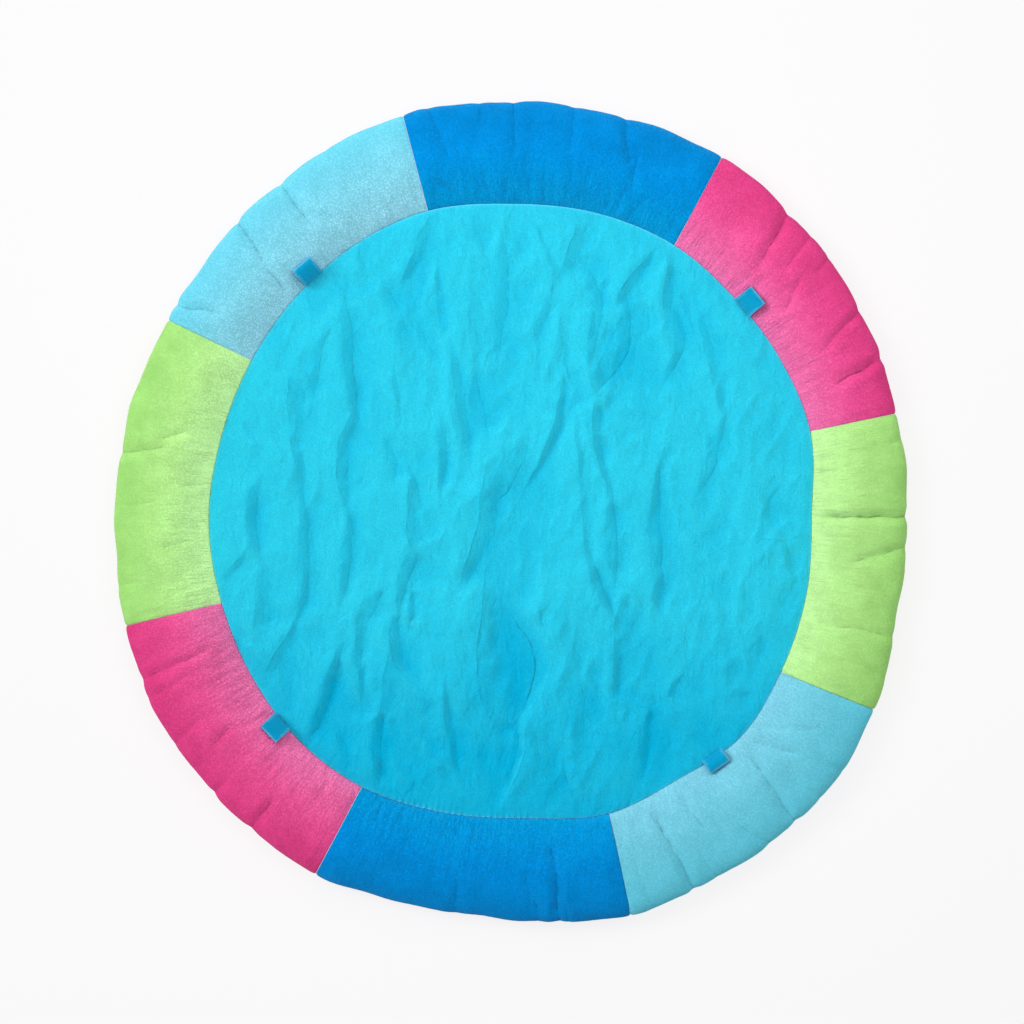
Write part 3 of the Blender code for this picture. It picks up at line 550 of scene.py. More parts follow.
def on_curve(knots, deg):
    """The distances at angles, on a smooth closed curve through the knots."""
    places = np.array([knot[0] for knot in knots])
    values = np.array([knot[1] for knot in knots])
    places = np.concatenate((places[-2:] - 360.0, places, places[:2] + 360.0))
    values = np.concatenate((values[-2:], values, values[:2]))
    deg = np.mod(deg, 360.0)
    start = np.searchsorted(places, deg, side="right") - 1
    before, end, after = start - 1, start + 1, start + 2
    span = places[end] - places[start]
    share = (deg - places[start]) / span
    slope_start = (values[end] - values[before]) / (places[end] - places[before]) * span
    slope_end = (values[after] - values[start]) / (places[after] - places[start]) * span
    square = share * share
    cube = square * share
    return ((2.0 * cube - 3.0 * square + 1.0) * values[start]
            + (cube - 2.0 * square + share) * slope_start
            + (3.0 * square - 2.0 * cube) * values[end] + (cube - square) * slope_end)


def cloth_noise(plan, length, width, seed):
    """Smooth unevenness between -1 and 1, drawn out to length along y and width along x."""
    flat = plan.reshape(-1, 2)
    values = [noise.noise((x / width, y / length, seed)) for x, y in flat.tolist()]
    return np.array(values).reshape(plan.shape[:-1])


def crooked(plan):
    """Points of the plan moved a little aside, so that folds and puckers run unevenly."""
    plan = plan.copy()
    for wander in WANDERS:
        for axis, seed in enumerate(wander.seeds):
            plan[..., axis] += wander.reach * cloth_noise(plan, wander.pitch, wander.pitch, seed)
    return plan


def stuffing(deg, share):
    """The unevenness of the rim's stuffing, in millimetres."""
    turn = np.radians(deg)
    return sum(wave.swell * np.sin(wave.waves * turn + wave.drift * share + wave.start)
               for wave in STUFFING)


def pucker_push(plan):
    """How far the puckers draw the rim's surface in, and the lines along their bottoms.

    A line is given at each point by the nearest pucker's signed distance and by its strength, which
    fades away from the line.
    """
    plan = crooked(plan)
    push = np.zeros(plan.shape[:-1])
    lines = np.full(plan.shape[:-1], LINE_SPAN), np.zeros(plan.shape[:-1])
    for pucker in PUCKERS:
        outer = polar(pucker.outer_deg, pucker.outer_mm)
        along = polar(pucker.inner_deg, pucker.inner_mm) - outer
        length = math.hypot(*along)
        room = min(PUCKER_FADE, PUCKER_FADE_SHARE * length)
        share = (plan - outer) @ along / length ** 2
        fade = smooth_step((1.0 - share) * length / room)
        if pucker.outer_mm < OPEN_PUCKER:
            fade = fade * smooth_step(share * length / room)
        gap = plan - outer - share[..., None] * along
        offset = np.hypot(gap[..., 0], gap[..., 1]) / pucker.half_width
        square = offset * offset
        groove = (1.0 - 0.5 * square) * np.exp(-0.5 * square)
        crease = np.exp(-PUCKER_SHARPNESS * offset)
        depth = pucker.depth * fade
        push += PUCKER_SWELL * depth * ((1.0 - PUCKER_CREASE) * groove + PUCKER_CREASE * crease)
        aside = (gap[..., 1] * along[0] - gap[..., 0] * along[1]) / length
        stronger_line(lines, ..., aside, depth)
    return push, lines


def rim_profile(width, crown):
    """The rim's section from the inner seam over its crest to the ground, as (across, height)."""
    width = width[:, None]
    crown = crown[:, None]
    crest = width * CREST_SHARE
    side_height = crown * SIDE_SHARE
    inner = (np.arange(INNER_ROWS) / INNER_ROWS)[None, :] ** INNER_EASE
    rise = SEAM_HEIGHT + (crown - SEAM_HEIGHT) * np.sin(0.5 * np.pi * inner)
    turn = 0.5 * np.pi * (1.0 - (np.arange(OUTER_ROWS + 1) / OUTER_ROWS)[None, :] ** OUTER_EASE)
    power = 2.0 / SIDE_FULLNESS
    over = np.maximum(np.cos(turn), 0.0) ** power
    fall = side_height + (crown - side_height) * np.maximum(np.sin(turn), 0.0) ** power
    tuck = 0.5 * np.pi * (np.arange(1, UNDER_ROWS + 1) / UNDER_ROWS)[None, :]
    across = np.concatenate((crest * inner, crest + (width - crest) * over,
                             width - GROUND_INSET * (1.0 - np.cos(tuck))), axis=1)
    height = np.concatenate((rise, fall, side_height * (1.0 - np.sin(tuck))), axis=1)
    return across, height


def section_end(index):
    """The seam that ends a section, as (outer angle, inner angle) past the section's start."""
    section = SECTIONS[index]
    following = SECTIONS[(index + 1) % len(SECTIONS)]
    lap = 360.0 if following.outer_deg < section.outer_deg else 0.0
    return following.outer_deg + lap, following.inner_deg + lap


def column_shares(index):
    """Where a section's columns stand, from 0 at its start to 1 at its end, closer at the seams."""
    outer_end, _ = section_end(index)
    length = math.radians(outer_end - SECTIONS[index].outer_deg) * MID_RIM
    seam = np.array(SEAM_COLUMNS) / length
    count = round(length / COLUMN_PITCH)
    middle = np.linspace(seam[-1], 1.0 - seam[-1], count)[1:-1]
    return np.concatenate((seam, middle, 1.0 - seam[::-1])), length


def rim_ripple(plan, run, share, arc, seam_gap):
    """The small gathers beside a section's seams, and the softness of its surface."""
    spot = np.stack((np.broadcast_to(arc[:, None], run.shape), run), axis=-1)
    swell = cloth_noise(plan, SOFT_PITCH, SOFT_PITCH, SOFT_SEED) * SOFT_SWELL
    crumple = -np.abs(cloth_noise(spot, CRUMPLE_LENGTH, CRUMPLE_PITCH, CRUMPLE_SEED))
    crumple = crumple * CRUMPLE_SWELL * (1.0 - CRUMPLE_CALM * share)
    inner = cloth_noise(spot, GATHER_LENGTH, GATHER_PITCH, GATHER_SEED)
    inner = inner * np.exp(-run / GATHER_REACH)
    seam = cloth_noise(spot[..., ::-1], GATHER_LENGTH, GATHER_PITCH, SEAM_GATHER_SEED)
    seam = seam * np.exp(-seam_gap / GATHER_REACH)[:, None]
    lobe = np.abs(cloth_noise(spot, LOBE_LENGTH, LOBE_PITCH, LOBE_SEED))
    lobe = lobe * np.exp(-run / LOBE_REACH)
    return swell + crumple + (inner + seam) * GATHER_SWELL + lobe * LOBE_SWELL


def push_ways(run, height):
    """How far a push off the rim's surface goes outwards and upwards, at each point of the profile."""
    slope = np.gradient(height, axis=1)
    step = np.gradient(run, axis=1)
    size = np.maximum(np.hypot(slope, step), LEAST_STEP)
    outward, upward = -slope / size, step / size
    outward[:, -1] = 0.0
    upward[:, -1] = 0.0
    return outward, upward


def section_faces(columns, rows):
    """The faces between a section's closed columns, and the two faces at its ends."""
    number = np.arange(columns * rows).reshape(columns, rows)
    after = np.roll(number, -1, axis=1)
    faces = np.stack((number[:-1], number[1:], after[1:], after[:-1]), axis=-1).reshape(-1, 4)
    return faces.tolist() + [number[0].tolist(), number[-1][::-1].tolist()]


def rim_section(index):
    """The points and faces of one stuffed section, and at each point the lie of its nap and how pale
    it is painted.
    """
    section = SECTIONS[index]
    outer_end, inner_end = section_end(index)
    shares, length = column_shares(index)
    outer = section.outer_deg + (outer_end - section.outer_deg) * shares
    inner = section.inner_deg + (inner_end - section.inner_deg) * shares
    inner_point = polar(inner, on_curve(INNER_KNOTS, inner) + CLEARANCE)
    outer_point = polar(outer, on_curve(OUTER_KNOTS, outer))
    across = outer_point - inner_point
    width = np.hypot(across[:, 0], across[:, 1])
    across /= width[:, None]
    start_gap = shares * length
    end_gap = (1.0 - shares) * length
    dip = np.exp(-(start_gap / SEAM_DIP_REACH) ** 2) + np.exp(-(end_gap / SEAM_DIP_REACH) ** 2)
    crown = on_curve(CROWN_KNOTS, 0.5 * (outer + inner)) - SEAM_DIP * dip
    run, height = rim_profile(width, crown)
    share = run / width[:, None]
    plan = inner_point[:, None, :] + across[:, None, :] * run[..., None]
    row = np.arange(run.shape[1])
    under = np.maximum(0.0, row - INNER_ROWS - OUTER_ROWS) / UNDER_ROWS
    loose = smooth_step(run / INNER_CALM) * (1.0 - smooth_step(under))
    outside = 1.0 - SIDE_CALM * smooth_step((share - SIDE_CALM_START) / (1.0 - SIDE_CALM_START))
    puckers, (line_gap, line) = pucker_push(plan)
    push = (stuffing(0.5 * (outer + inner)[:, None], share) - puckers * outside) * loose
    arc = np.radians(0.5 * (outer + inner)) * MID_RIM
    push += rim_ripple(plan, run, share, arc, np.minimum(start_gap, end_gap)) * loose * outside
    roll = np.exp(-start_gap / SEAM_ROLL_REACH) + np.exp(-end_gap / SEAM_ROLL_REACH)
    push -= SEAM_ROLL * roll[:, None] * (1.0 - smooth_step(under))
    outward, upward = push_ways(run, height)
    height = height - SEAM_ROLL * np.exp(-run / SEAM_ROLL_REACH) * (row < INNER_ROWS)
    plan = plan + across[:, None, :] * (outward * push)[..., None]
    height = np.maximum(height + upward * push, 0.0)
    height[:, -1] = 0.0
    plan = np.concatenate((inner_point[:, None, :], plan), axis=1)
    height = np.concatenate((np.zeros((len(shares), 1)), height), axis=1)
    # Painted light: the nap is painted paler towards the inner seam, most on the sections whose inner
    # slopes lie in shade.
    outer_frost_light, inner_frost_light = section.frost
    frost = inner_frost_light + (outer_frost_light - inner_frost_light) * share
    values = {"nap": 1.0 - share, "frost": np.maximum(frost, 0.0),
              "line_gap": line_gap, "line": line * loose,
              "arc": np.broadcast_to(arc[:, None], run.shape) * MM, "run": run * MM}
    values = {name: np.concatenate((value[:, :1], value), axis=1).reshape(-1)
              for name, value in values.items()}
    sideways = np.stack((-across[:, 1], across[:, 0]), axis=-1) * END_CLEARANCE
    plan[0] += sideways[0]
    plan[-1] -= sideways[-1]
    verts = np.concatenate((plan, height[..., None]), axis=-1).reshape(-1, 3)
    return verts, section_faces(*height.shape), values


def trace(wrinkle):
    """Close points along a wrinkle's curve from its top to its bottom, and unit directions."""
    top, middle, bottom = np.array(wrinkle[:6], float).reshape(3, 2)
    bend = middle * 2.0 - (top + bottom) * 0.5
    rough = math.dist(top, middle) + math.dist(middle, bottom)
    share = np.linspace(0.0, 1.0, max(3, round(rough / TRACE_PITCH)))[:, None]
    rest = 1.0 - share
    spots = top * rest * rest + bend * (2.0 * rest * share) + bottom * share * share
    way = np.gradient(spots, axis=0)
    return share[:, 0], spots, way / np.hypot(way[:, 0], way[:, 1])[:, None]


def fold(side, crisp):
    """A fold across its line: a fall from about 1 at its crest, -1 aside, to about -1 at its trough.

    It bends sharply at its trough where crisp is 1 and at its crest where crisp is -1, and rounds
    off at the other.
    """
    beyond = np.maximum(np.abs(side) - 1.0, 0.0)
    rise = np.where(side * crisp > 0.0, np.clip(side, -1.0, 1.0), np.tanh(side))
    return -rise * np.exp(-beyond / FOLD_EASE)


def stronger_line(lines, place, aside, strength):
    """Takes up a crease line where it's stronger than the one that is there already."""
    gap, line = lines
    here = strength * np.exp(-(aside / LINE_REACH) ** 2)
    stronger = here > line[place]
    gap[place] = np.where(stronger, np.clip(aside, -LINE_SPAN, LINE_SPAN), gap[place])
    line[place] = np.where(stronger, here, line[place])


def nearest_spot(points, spots):
    """For each point the number of the nearest spot, and the way from that spot to the point."""
    gaps = points[:, None, :] - spots[None, :, :]
    nearest = np.argmin(np.sum(gaps * gaps, axis=2), axis=1)
    return nearest, points - spots[nearest]


def wrinkle_height(plan):
    """The height that the wrinkles add to the middle piece, their falls, which are painted in shade,
    and the crease lines.
    """
    plan = crooked(plan)
    height = np.zeros(len(plan))
    falls = np.zeros(len(plan))
    troughs = np.full(len(plan), LINE_SPAN), np.zeros(len(plan))
    crests = np.full(len(plan), LINE_SPAN), np.zeros(len(plan))
    for number, wrinkle in enumerate(WRINKLES):
        shares, spots, ways = trace(wrinkle)
        ease = TAPER_EASES[number % len(TAPER_EASES)]
        crisp = 1.0 if number % 2 else -1.0
        half = 0.5 * wrinkle.flank
        reach = FOLD_REACH * BROAD_SPREAD * half + END_REACH
        near = np.all((plan > spots.min(axis=0) - reach) & (plan < spots.max(axis=0) + reach), axis=1)
        nearest, gap = nearest_spot(plan[near], spots)
        way = ways[nearest]
        share = shares[nearest]
        width = half * (TAPER + (1.0 - TAPER) * np.sin(np.pi * share ** ease))
        side = (gap[:, 1] * way[:, 0] - gap[:, 0] * way[:, 1]) / width
        past = gap[:, 0] * way[:, 0] + gap[:, 1] * way[:, 1]
        fade = smooth_step(share / FADE_SHARE) * smooth_step((1.0 - share) / FADE_SHARE)
        fade = (END_STRENGTH + (1.0 - END_STRENGTH) * fade) * np.exp(-(past / END_REACH) ** 2)
        rise = FINE_SHARE * fold(side, crisp) + BROAD_SHARE * fold(side / BROAD_SPREAD, crisp)
        height[near] += 0.5 * wrinkle.drop * rise * fade
        trough = math.copysign(1.0, wrinkle.drop)
        strength = abs(wrinkle.drop) * fade
        at_trough = 1.0 if trough == crisp else SOFT_LINE
        at_crest = SOFT_LINE if trough == crisp else 1.0
        stronger_line(troughs, near, (side - trough) * width, strength * at_trough)
        stronger_line(crests, near, (side + trough) * width, strength * at_crest)
        # Painted shade: flanks that fall to the right, away from the key lamp, are painted deeper.
        fall = np.maximum(wrinkle.drop, 0.0) * fade * np.clip(2.0 - np.abs(side), 0.0, 1.0)
        falls[near] = np.maximum(falls[near], fall)
    return height, falls, troughs, crests


def crumple_height(plan):
    """The height that the cotton's own crumples add to the middle piece."""
    height = np.zeros(len(plan))
    for crumple in CRUMPLES:
        turn = math.radians(crumple.slant_deg)
        turned = np.column_stack((plan[:, 0] * math.cos(turn) + plan[:, 1] * math.sin(turn),
                                  plan[:, 1] * math.cos(turn) - plan[:, 0] * math.sin(turn)))
        swell = cloth_noise(turned, crumple.length, crumple.width, crumple.seed)
        if crumple.sharp:
            swell = 0.5 - 2.0 * np.abs(swell)
        height += crumple.swell * swell
    return height


def middle_height(plan):
    """The height of the middle piece's upper side, its crease lines, its painted shade and its painted
    edge highlight.
    """
    deg = np.degrees(np.arctan2(plan[:, 1], plan[:, 0]))
    inside = np.maximum(on_curve(INNER_KNOTS, deg) - np.hypot(plan[:, 0], plan[:, 1]), 0.0)
    settle = 1.0 - np.exp(-inside / EDGE_REACH)
    folds, falls, troughs, crests = wrinkle_height(plan)
    folds = folds + crumple_height(plan)
    height = EDGE_HEIGHT + (WADDING - EDGE_HEIGHT + folds) * settle
    height -= EDGE_ROLL * np.exp(-inside / EDGE_ROLL_REACH)
    arc = np.radians(deg) * MID_SEAM
    rolled = ((deg % 360.0 > ROLLED_EDGE[0]) & (deg % 360.0 < ROLLED_EDGE[1])) * ROLLED_SWELL
    ripple = np.sin(2.0 * np.pi * arc / ROLLED_PITCH) * np.exp(-inside / ROLLED_REACH)
    height = height + rolled * ripple
    room = SOFT_BOTTOM - THINNEST
    eased = THINNEST + room * np.exp(np.minimum(height - SOFT_BOTTOM, 0.0) / room)
    height = np.where(height < SOFT_BOTTOM, eased, height)
    # Painted shade: deeper colour in the hollows, on the falling flanks and towards the bottom of the
    # mat.
    low = np.clip((HOLLOW_SHADE_START - height) / HOLLOW_SHADE_SPAN, 0.0, 1.0) * settle
    shaded = smooth_step((-plan[:, 1] - SHADED_START) / SHADED_SPAN) * SHADED_SHARE
    # Painted highlight along the edge at the seam.
    pale = np.exp(-inside / EDGE_HIGHLIGHT_REACH) * np.where(rolled > 0.0, 1.0, EDGE_HIGHLIGHT_SHARE)
    values = {"line_gap": troughs[0], "line": troughs[1] * settle, "ridge_gap": crests[0],
              "ridge": crests[1] * settle, "deep": low + shaded + FLANK_SHADE * falls * settle,
              "rim": pale}
    return height, values


def middle_piece():
    """The middle piece: rings of triangles above, drawn out to the seam, and flat below."""
    edge = 1.0 - np.array(EDGE_RINGS) / MID_SEAM
    ring_shares = np.concatenate((np.linspace(0.0, edge[0], RINGS - len(edge) + 2), edge[1:]))
    plan = [np.zeros((1, 2))]
    faces = []
    first = 0
    for ring, share in enumerate(ring_shares[1:], 1):
        count = 6 * ring
        deg = 360.0 * np.arange(count) / count
        plan.append(polar(deg, share * (on_curve(INNER_KNOTS, deg) - CLEARANCE)))
        inner_first = first
        inner_count = max(count - 6, 1)
        first += inner_count
        step = np.arange(count)
        sixth, place = step // ring, step % ring
        low = first + step
        high = first + (step + 1) % count
        below = inner_first + (sixth * (ring - 1) + place) % inner_count
        beside = inner_first + (sixth * (ring - 1) + place + 1) % inner_count
        faces += np.stack((low, high, below), axis=1).tolist()
        inside = place < ring - 1
        faces += np.stack((high, beside, below), axis=1)[inside].tolist()
    plan = np.concatenate(plan)
    height, values = middle_height(plan)
    verts = np.column_stack((plan, height))
    rim = np.arange(first, first + count)
    ground = len(verts) + np.arange(count)
    verts = np.concatenate((verts, np.column_stack((plan[rim], np.zeros(count)))))
    faces += np.stack((rim, ground, np.roll(ground, -1), np.roll(rim, -1)), axis=1).tolist()
    faces.append(ground[::-1].tolist())
    values = {name: np.concatenate((value, value[rim])) for name, value in values.items()}
    return verts, faces, values


def loop_outline(loop, slope_reach):
    """A loop's section as (along, above) pairs: its outer side, and the eye inside it."""
    radius = 0.5 * loop.eye + RIBBON
    straight = slope_reach - radius
    outer = []
    eye = []
    for step in range(RUN_POINTS):
        share = step / RUN_POINTS
        outer.append((straight * share, 0.0))
        eye.append((JOIN_LENGTH + (straight - JOIN_LENGTH) * share, RIBBON))
    for step in range(FOLD_POINTS + 1):
        turn = math.pi * (step / FOLD_POINTS - 0.5)
        outer.append((straight + radius * math.cos(turn), radius + radius * math.sin(turn)))
        inside = radius - RIBBON
        eye.append((straight + inside * math.cos(turn), radius + inside * math.sin(turn)))
    for step in range(1, RUN_POINTS + 1):
        share = 1.0 - step / RUN_POINTS
        rise = math.sin(0.5 * math.pi * share) ** ROOT_RISE if share > 0.0 else 0.0
        lean = loop.lean * math.sin(math.pi * share ** LEAN_EASE)
        outer.append((straight * share - lean,
                      2.0 * RIBBON + (2.0 * radius - 2.0 * RIBBON) * rise))
        eye.append((JOIN_LENGTH + (straight - JOIN_LENGTH) * share - lean,
                    RIBBON + (2.0 * radius - 2.0 * RIBBON) * rise))
    return outer, eye[:-1]


class LyingRibbon:
    """Lays the flat sizes of a ribbon loop on the surface of the rim and the middle piece."""

    def __init__(self, loop, ground):
        root = on_curve(INNER_KNOTS, np.array([loop.seam_deg]))[0] + CLEARANCE
        self.loop = loop
        self.ground = ground
        self.root = Vector(polar(loop.seam_deg, root))
        self.way = Vector(polar(loop.points_deg, 1.0))
        self.side_way = Vector((-self.way.y, self.way.x))
        self.marks = [(0.0, 0.0)]
        along = 0.0
        while along < loop.reach:
            rise = self.surface(along + SLOPE_STEP, 0.0) - self.surface(along, 0.0)
            along += SLOPE_STEP
            self.marks.append((self.marks[-1][0] + math.hypot(SLOPE_STEP, rise), along))
        self.slope_reach = self.marks[-1][0]

    def surface(self, along, aside):
        plan = self.root + self.way * along + self.side_way * aside
        spot = self.ground.ray_cast(Vector((plan.x, plan.y, ABOVE_ALL)), Vector((0.0, 0.0, -1.0)))[0]
        return max(spot.z, SEAM_HEIGHT) if spot else SEAM_HEIGHT

    def plan_reach(self, arc):
        arcs, alongs = zip(*self.marks)
        return float(np.interp(arc, arcs, alongs))

    def lie(self, arc, above, aside):
        """The point that is arc along the loop, above the surface under it and aside."""
        along = self.plan_reach(max(arc, 0.0))
        slope = self.surface(along + SLOPE_SPAN, 0.0)
        slope -= self.surface(max(along - SLOPE_SPAN, 0.0), 0.0)
        slope /= SLOPE_SPAN + min(along, SLOPE_SPAN)
        length = math.hypot(1.0, slope)
        rise = self.surface(along, aside) - self.surface(along, 0.0)
        rise *= 1.0 - min(above / (self.loop.eye + 2.0 * RIBBON), 1.0)
        off = above + LOOP_LIFT
        out = along + min(arc, 0.0) - slope / length * off
        height = self.surface(along, 0.0) + rise + off / length
        plan = self.root + self.way * out + self.side_way * aside
        return plan.x, plan.y, height

    def across(self, arc, share):
        """How far aside a share of the ribbon's width is, where it tapers towards its fold."""
        narrow = 1.0 + (LOOP_TAPER - 1.0) * min(max(arc / self.slope_reach, 0.0), 1.0)
        return share * LOOP_WIDTH * narrow


def ribbon_loop(ribbon):
    """The points and faces of a folded ribbon loop that lies on the rim, and the painted highlight
    along its edges and fold.
    """
    outer, eye = loop_outline(ribbon.loop, ribbon.slope_reach)
    verts = []
    rim = []
    for station in range(LOOP_STATIONS):
        share = station / (LOOP_STATIONS - 1) - 0.5
        for arc, above in outer + eye:
            verts.append(ribbon.lie(arc, above, ribbon.across(arc, share)))
            # Painted highlight along the ribbon's long edges and its outer fold.
            fold_gap = FOLD_HIGHLIGHT_FADE * (ribbon.slope_reach - arc)
            rim.append(math.exp(-min((0.5 - abs(share)) * LOOP_WIDTH, fold_gap) / SELVEDGE_HIGHLIGHT))
    size = len(outer) + len(eye)
    around = len(outer)
    faces = []
    for station in range(LOOP_STATIONS - 1):
        low = station * size
        high = low + size
        for first, count in ((0, around), (around, len(eye))):
            for place in range(count):
                after = first + (place + 1) % count
                faces.append((low + first + place, low + after, high + after, high + first + place))
    for low in (0, (LOOP_STATIONS - 1) * size):
        for place in range(len(eye) - 1):
            faces.append((low + place, low + place + 1,
                          low + around + place + 1, low + around + place))
        last = around - 1
        faces.append((low + last - 1, low + last, low + around, low + size - 1))
        faces.append((low + last, low, low + around))
    return np.array(verts), faces, {"rim": rim}


def stitch(start, end):
    """The points and faces of one stitch, an arched run of thread between two points."""
    start, end = Vector(start), Vector(end)
    way = (end - start).normalized()
    side = way.cross(Vector((0.0, 0.0, 1.0))).normalized()
    up = side.cross(way)
    sides = STITCH_SIDES
    last = STITCH_RINGS - 1
    verts = []
    faces = [tuple(range(sides)), tuple(range(last * sides, STITCH_RINGS * sides))]
    for ring in range(STITCH_RINGS):
        arch = math.sin(math.pi * ring / last)
        swell = 0.5 * THREAD * (STITCH_END + (1.0 - STITCH_END) * arch)
        middle = start.lerp(end, ring / last) + up * (0.5 * THREAD * (arch - STITCH_SINK))
        for corner in range(sides):
            turn = 2.0 * math.pi * corner / sides
            verts.append(tuple(middle + (side * math.cos(turn) + up * math.sin(turn)) * swell))
    for low in range(0, last * sides, sides):
        for corner in range(sides):
            after = (corner + 1) % sides
            faces.append((low + corner, low + after, low + sides + after, low + sides + corner))
    return verts, faces


def loop_stitches(ribbon):
    """Two rows of topstitches along the upper layer of a loop, one beside each edge."""
    outer, _ = loop_outline(ribbon.loop, ribbon.slope_reach)
    upper = outer[RUN_POINTS + FOLD_POINTS:-1]
    arcs = np.array([point[0] for point in upper])[::-1]
    heights = np.array([point[1] for point in upper])[::-1]
    verts = []
    faces = []
    for edge in (-1.0, 1.0):
        share = edge * (0.5 - STITCH_INSET / LOOP_WIDTH)
        arc = arcs[0] + STITCH_GAP
        while arc + STITCH < arcs[-1]:
            ends = []
            for spot in (arc, arc + STITCH):
                above = float(np.interp(spot, arcs, heights))
                ends.append(ribbon.lie(spot, above, ribbon.across(spot, share)))
            new_verts, new_faces = stitch(*ends)
            faces += [tuple(len(verts) + corner for corner in face) for face in new_faces]
            verts += new_verts
            arc += STITCH + STITCH_GAP
    return np.array(verts), faces


def shade(colour):
    """A linear colour from display values of 0 to 255."""
    return tuple((value / 255.0 / 12.92) if value <= 10 else ((value / 255.0 + 0.055) / 1.055) ** 2.4
                 for value in colour) + (1.0,)


class Field:
    """A number that changes over a cloth. Its sums and products are shader nodes."""

    def __init__(self, cloth, socket):
        self.cloth = cloth
        self.socket = socket

    def made(self, operation, second=0.0):
        """The field that a math node makes from this one and another, or from this one alone."""
        node = self.cloth.node("ShaderNodeMath", {0: self, 1: second}, operation=operation)
        return Field(self.cloth, node.outputs[0])

    def __add__(self, other):
        return self.made("ADD", other)

    def __sub__(self, other):
        return self.made("SUBTRACT", other)

    def __mul__(self, other):
        return self.made("MULTIPLY", other)


class Cloth:
    """A new material for cloth, with its shader and with places set along the mat."""

    def __init__(self, name, roughness, sheen):
        self.material = bpy.data.materials.new(name)
        self.material.use_nodes = True
        self.tree = self.material.node_tree
        self.shader = self.tree.nodes["Principled BSDF"]
        for label, value in (("Roughness", roughness), ("Diffuse Roughness", 1.0),
                             ("Specular IOR Level", SHINE), ("Sheen Weight", sheen),
                             ("Sheen Roughness", SHEEN_ROUGHNESS)):
            self.shader.inputs[label].default_value = value
        place = self.node("ShaderNodeTexCoord", {}).outputs["Object"]
        turn = (0.0, 0.0, -math.radians(TURN_DEG))
        turned = self.node("ShaderNodeMapping", {"Vector": place, "Rotation": turn})
        self.place = turned.outputs["Vector"]

    def node(self, kind, inputs, **settings):
        """A shader node with its inputs set from values, or linked from fields or outputs."""
        node = self.tree.nodes.new(kind)
        for name, value in settings.items():
            setattr(node, name, value)
        for name, value in inputs.items():
            value = getattr(value, "socket", value)
            if isinstance(value, bpy.types.NodeSocket):
                self.tree.links.new(value, node.inputs[name])
            else:
                node.inputs[name].default_value = value
        return node

    def attribute(self, name):
        return Field(self, self.node("ShaderNodeAttribute", {}, attribute_name=name).outputs["Fac"])

    def noise(self, pitch, detail=2.0, roughness=0.5, place=None):
        """Noise between 0 and 1 whose grains are about a pitch in millimetres apart."""
        inputs = {"Vector": self.place if place is None else place, "Scale": 1.0 / (pitch * MM),
                  "Detail": detail, "Roughness": roughness}
        return Field(self, self.node("ShaderNodeTexNoise", inputs).outputs["Fac"])

    def valleys(self, pitch, place):
        """Sharp valleys between soft swells: 0 along a valley and up to 1 beside it."""
        return (self.noise(pitch, place=place) * 4.0 - 2.0).made("ABSOLUTE")

    def crease_line(self, width, kind="line"):
        """How strong a crease is, easing out over a width in millimetres beside its uneven line."""
        gap = self.attribute(kind + "_gap").made("ABSOLUTE")
        near = (gap * (-1.0 / width)).made("EXPONENT")
        uneven = self.noise(UNEVEN_PITCH) * UNEVEN_SWING + UNEVEN_START
        uneven = uneven.made("MAXIMUM", FAINTEST_LINE).made("MINIMUM", STRONGEST_LINE)
        return self.attribute(kind) * (near * uneven)

    def mix(self, share, first, second):
        """A share of the second colour in the first."""
        inputs = {"Factor": share, 6: shade(first), 7: shade(second)}
        return self.node("ShaderNodeMix", inputs, data_type="RGBA").outputs[2]

    def colour(self, colour, value, saturation):
        tinted = self.node("ShaderNodeHueSaturation",
                           {"Color": colour, "Value": value, "Saturation": saturation})
        self.tree.links.new(tinted.outputs["Color"], self.shader.inputs["Base Color"])

    def relief(self, height, strength=1.0, depth=1.0):
        """Shades the surface as raised by a height, counted in depths in millimetres."""
        bump = self.node("ShaderNodeBump",
                         {"Height": height, "Strength": strength, "Distance": depth * MM})
        self.tree.links.new(bump.outputs["Normal"], self.shader.inputs["Normal"])


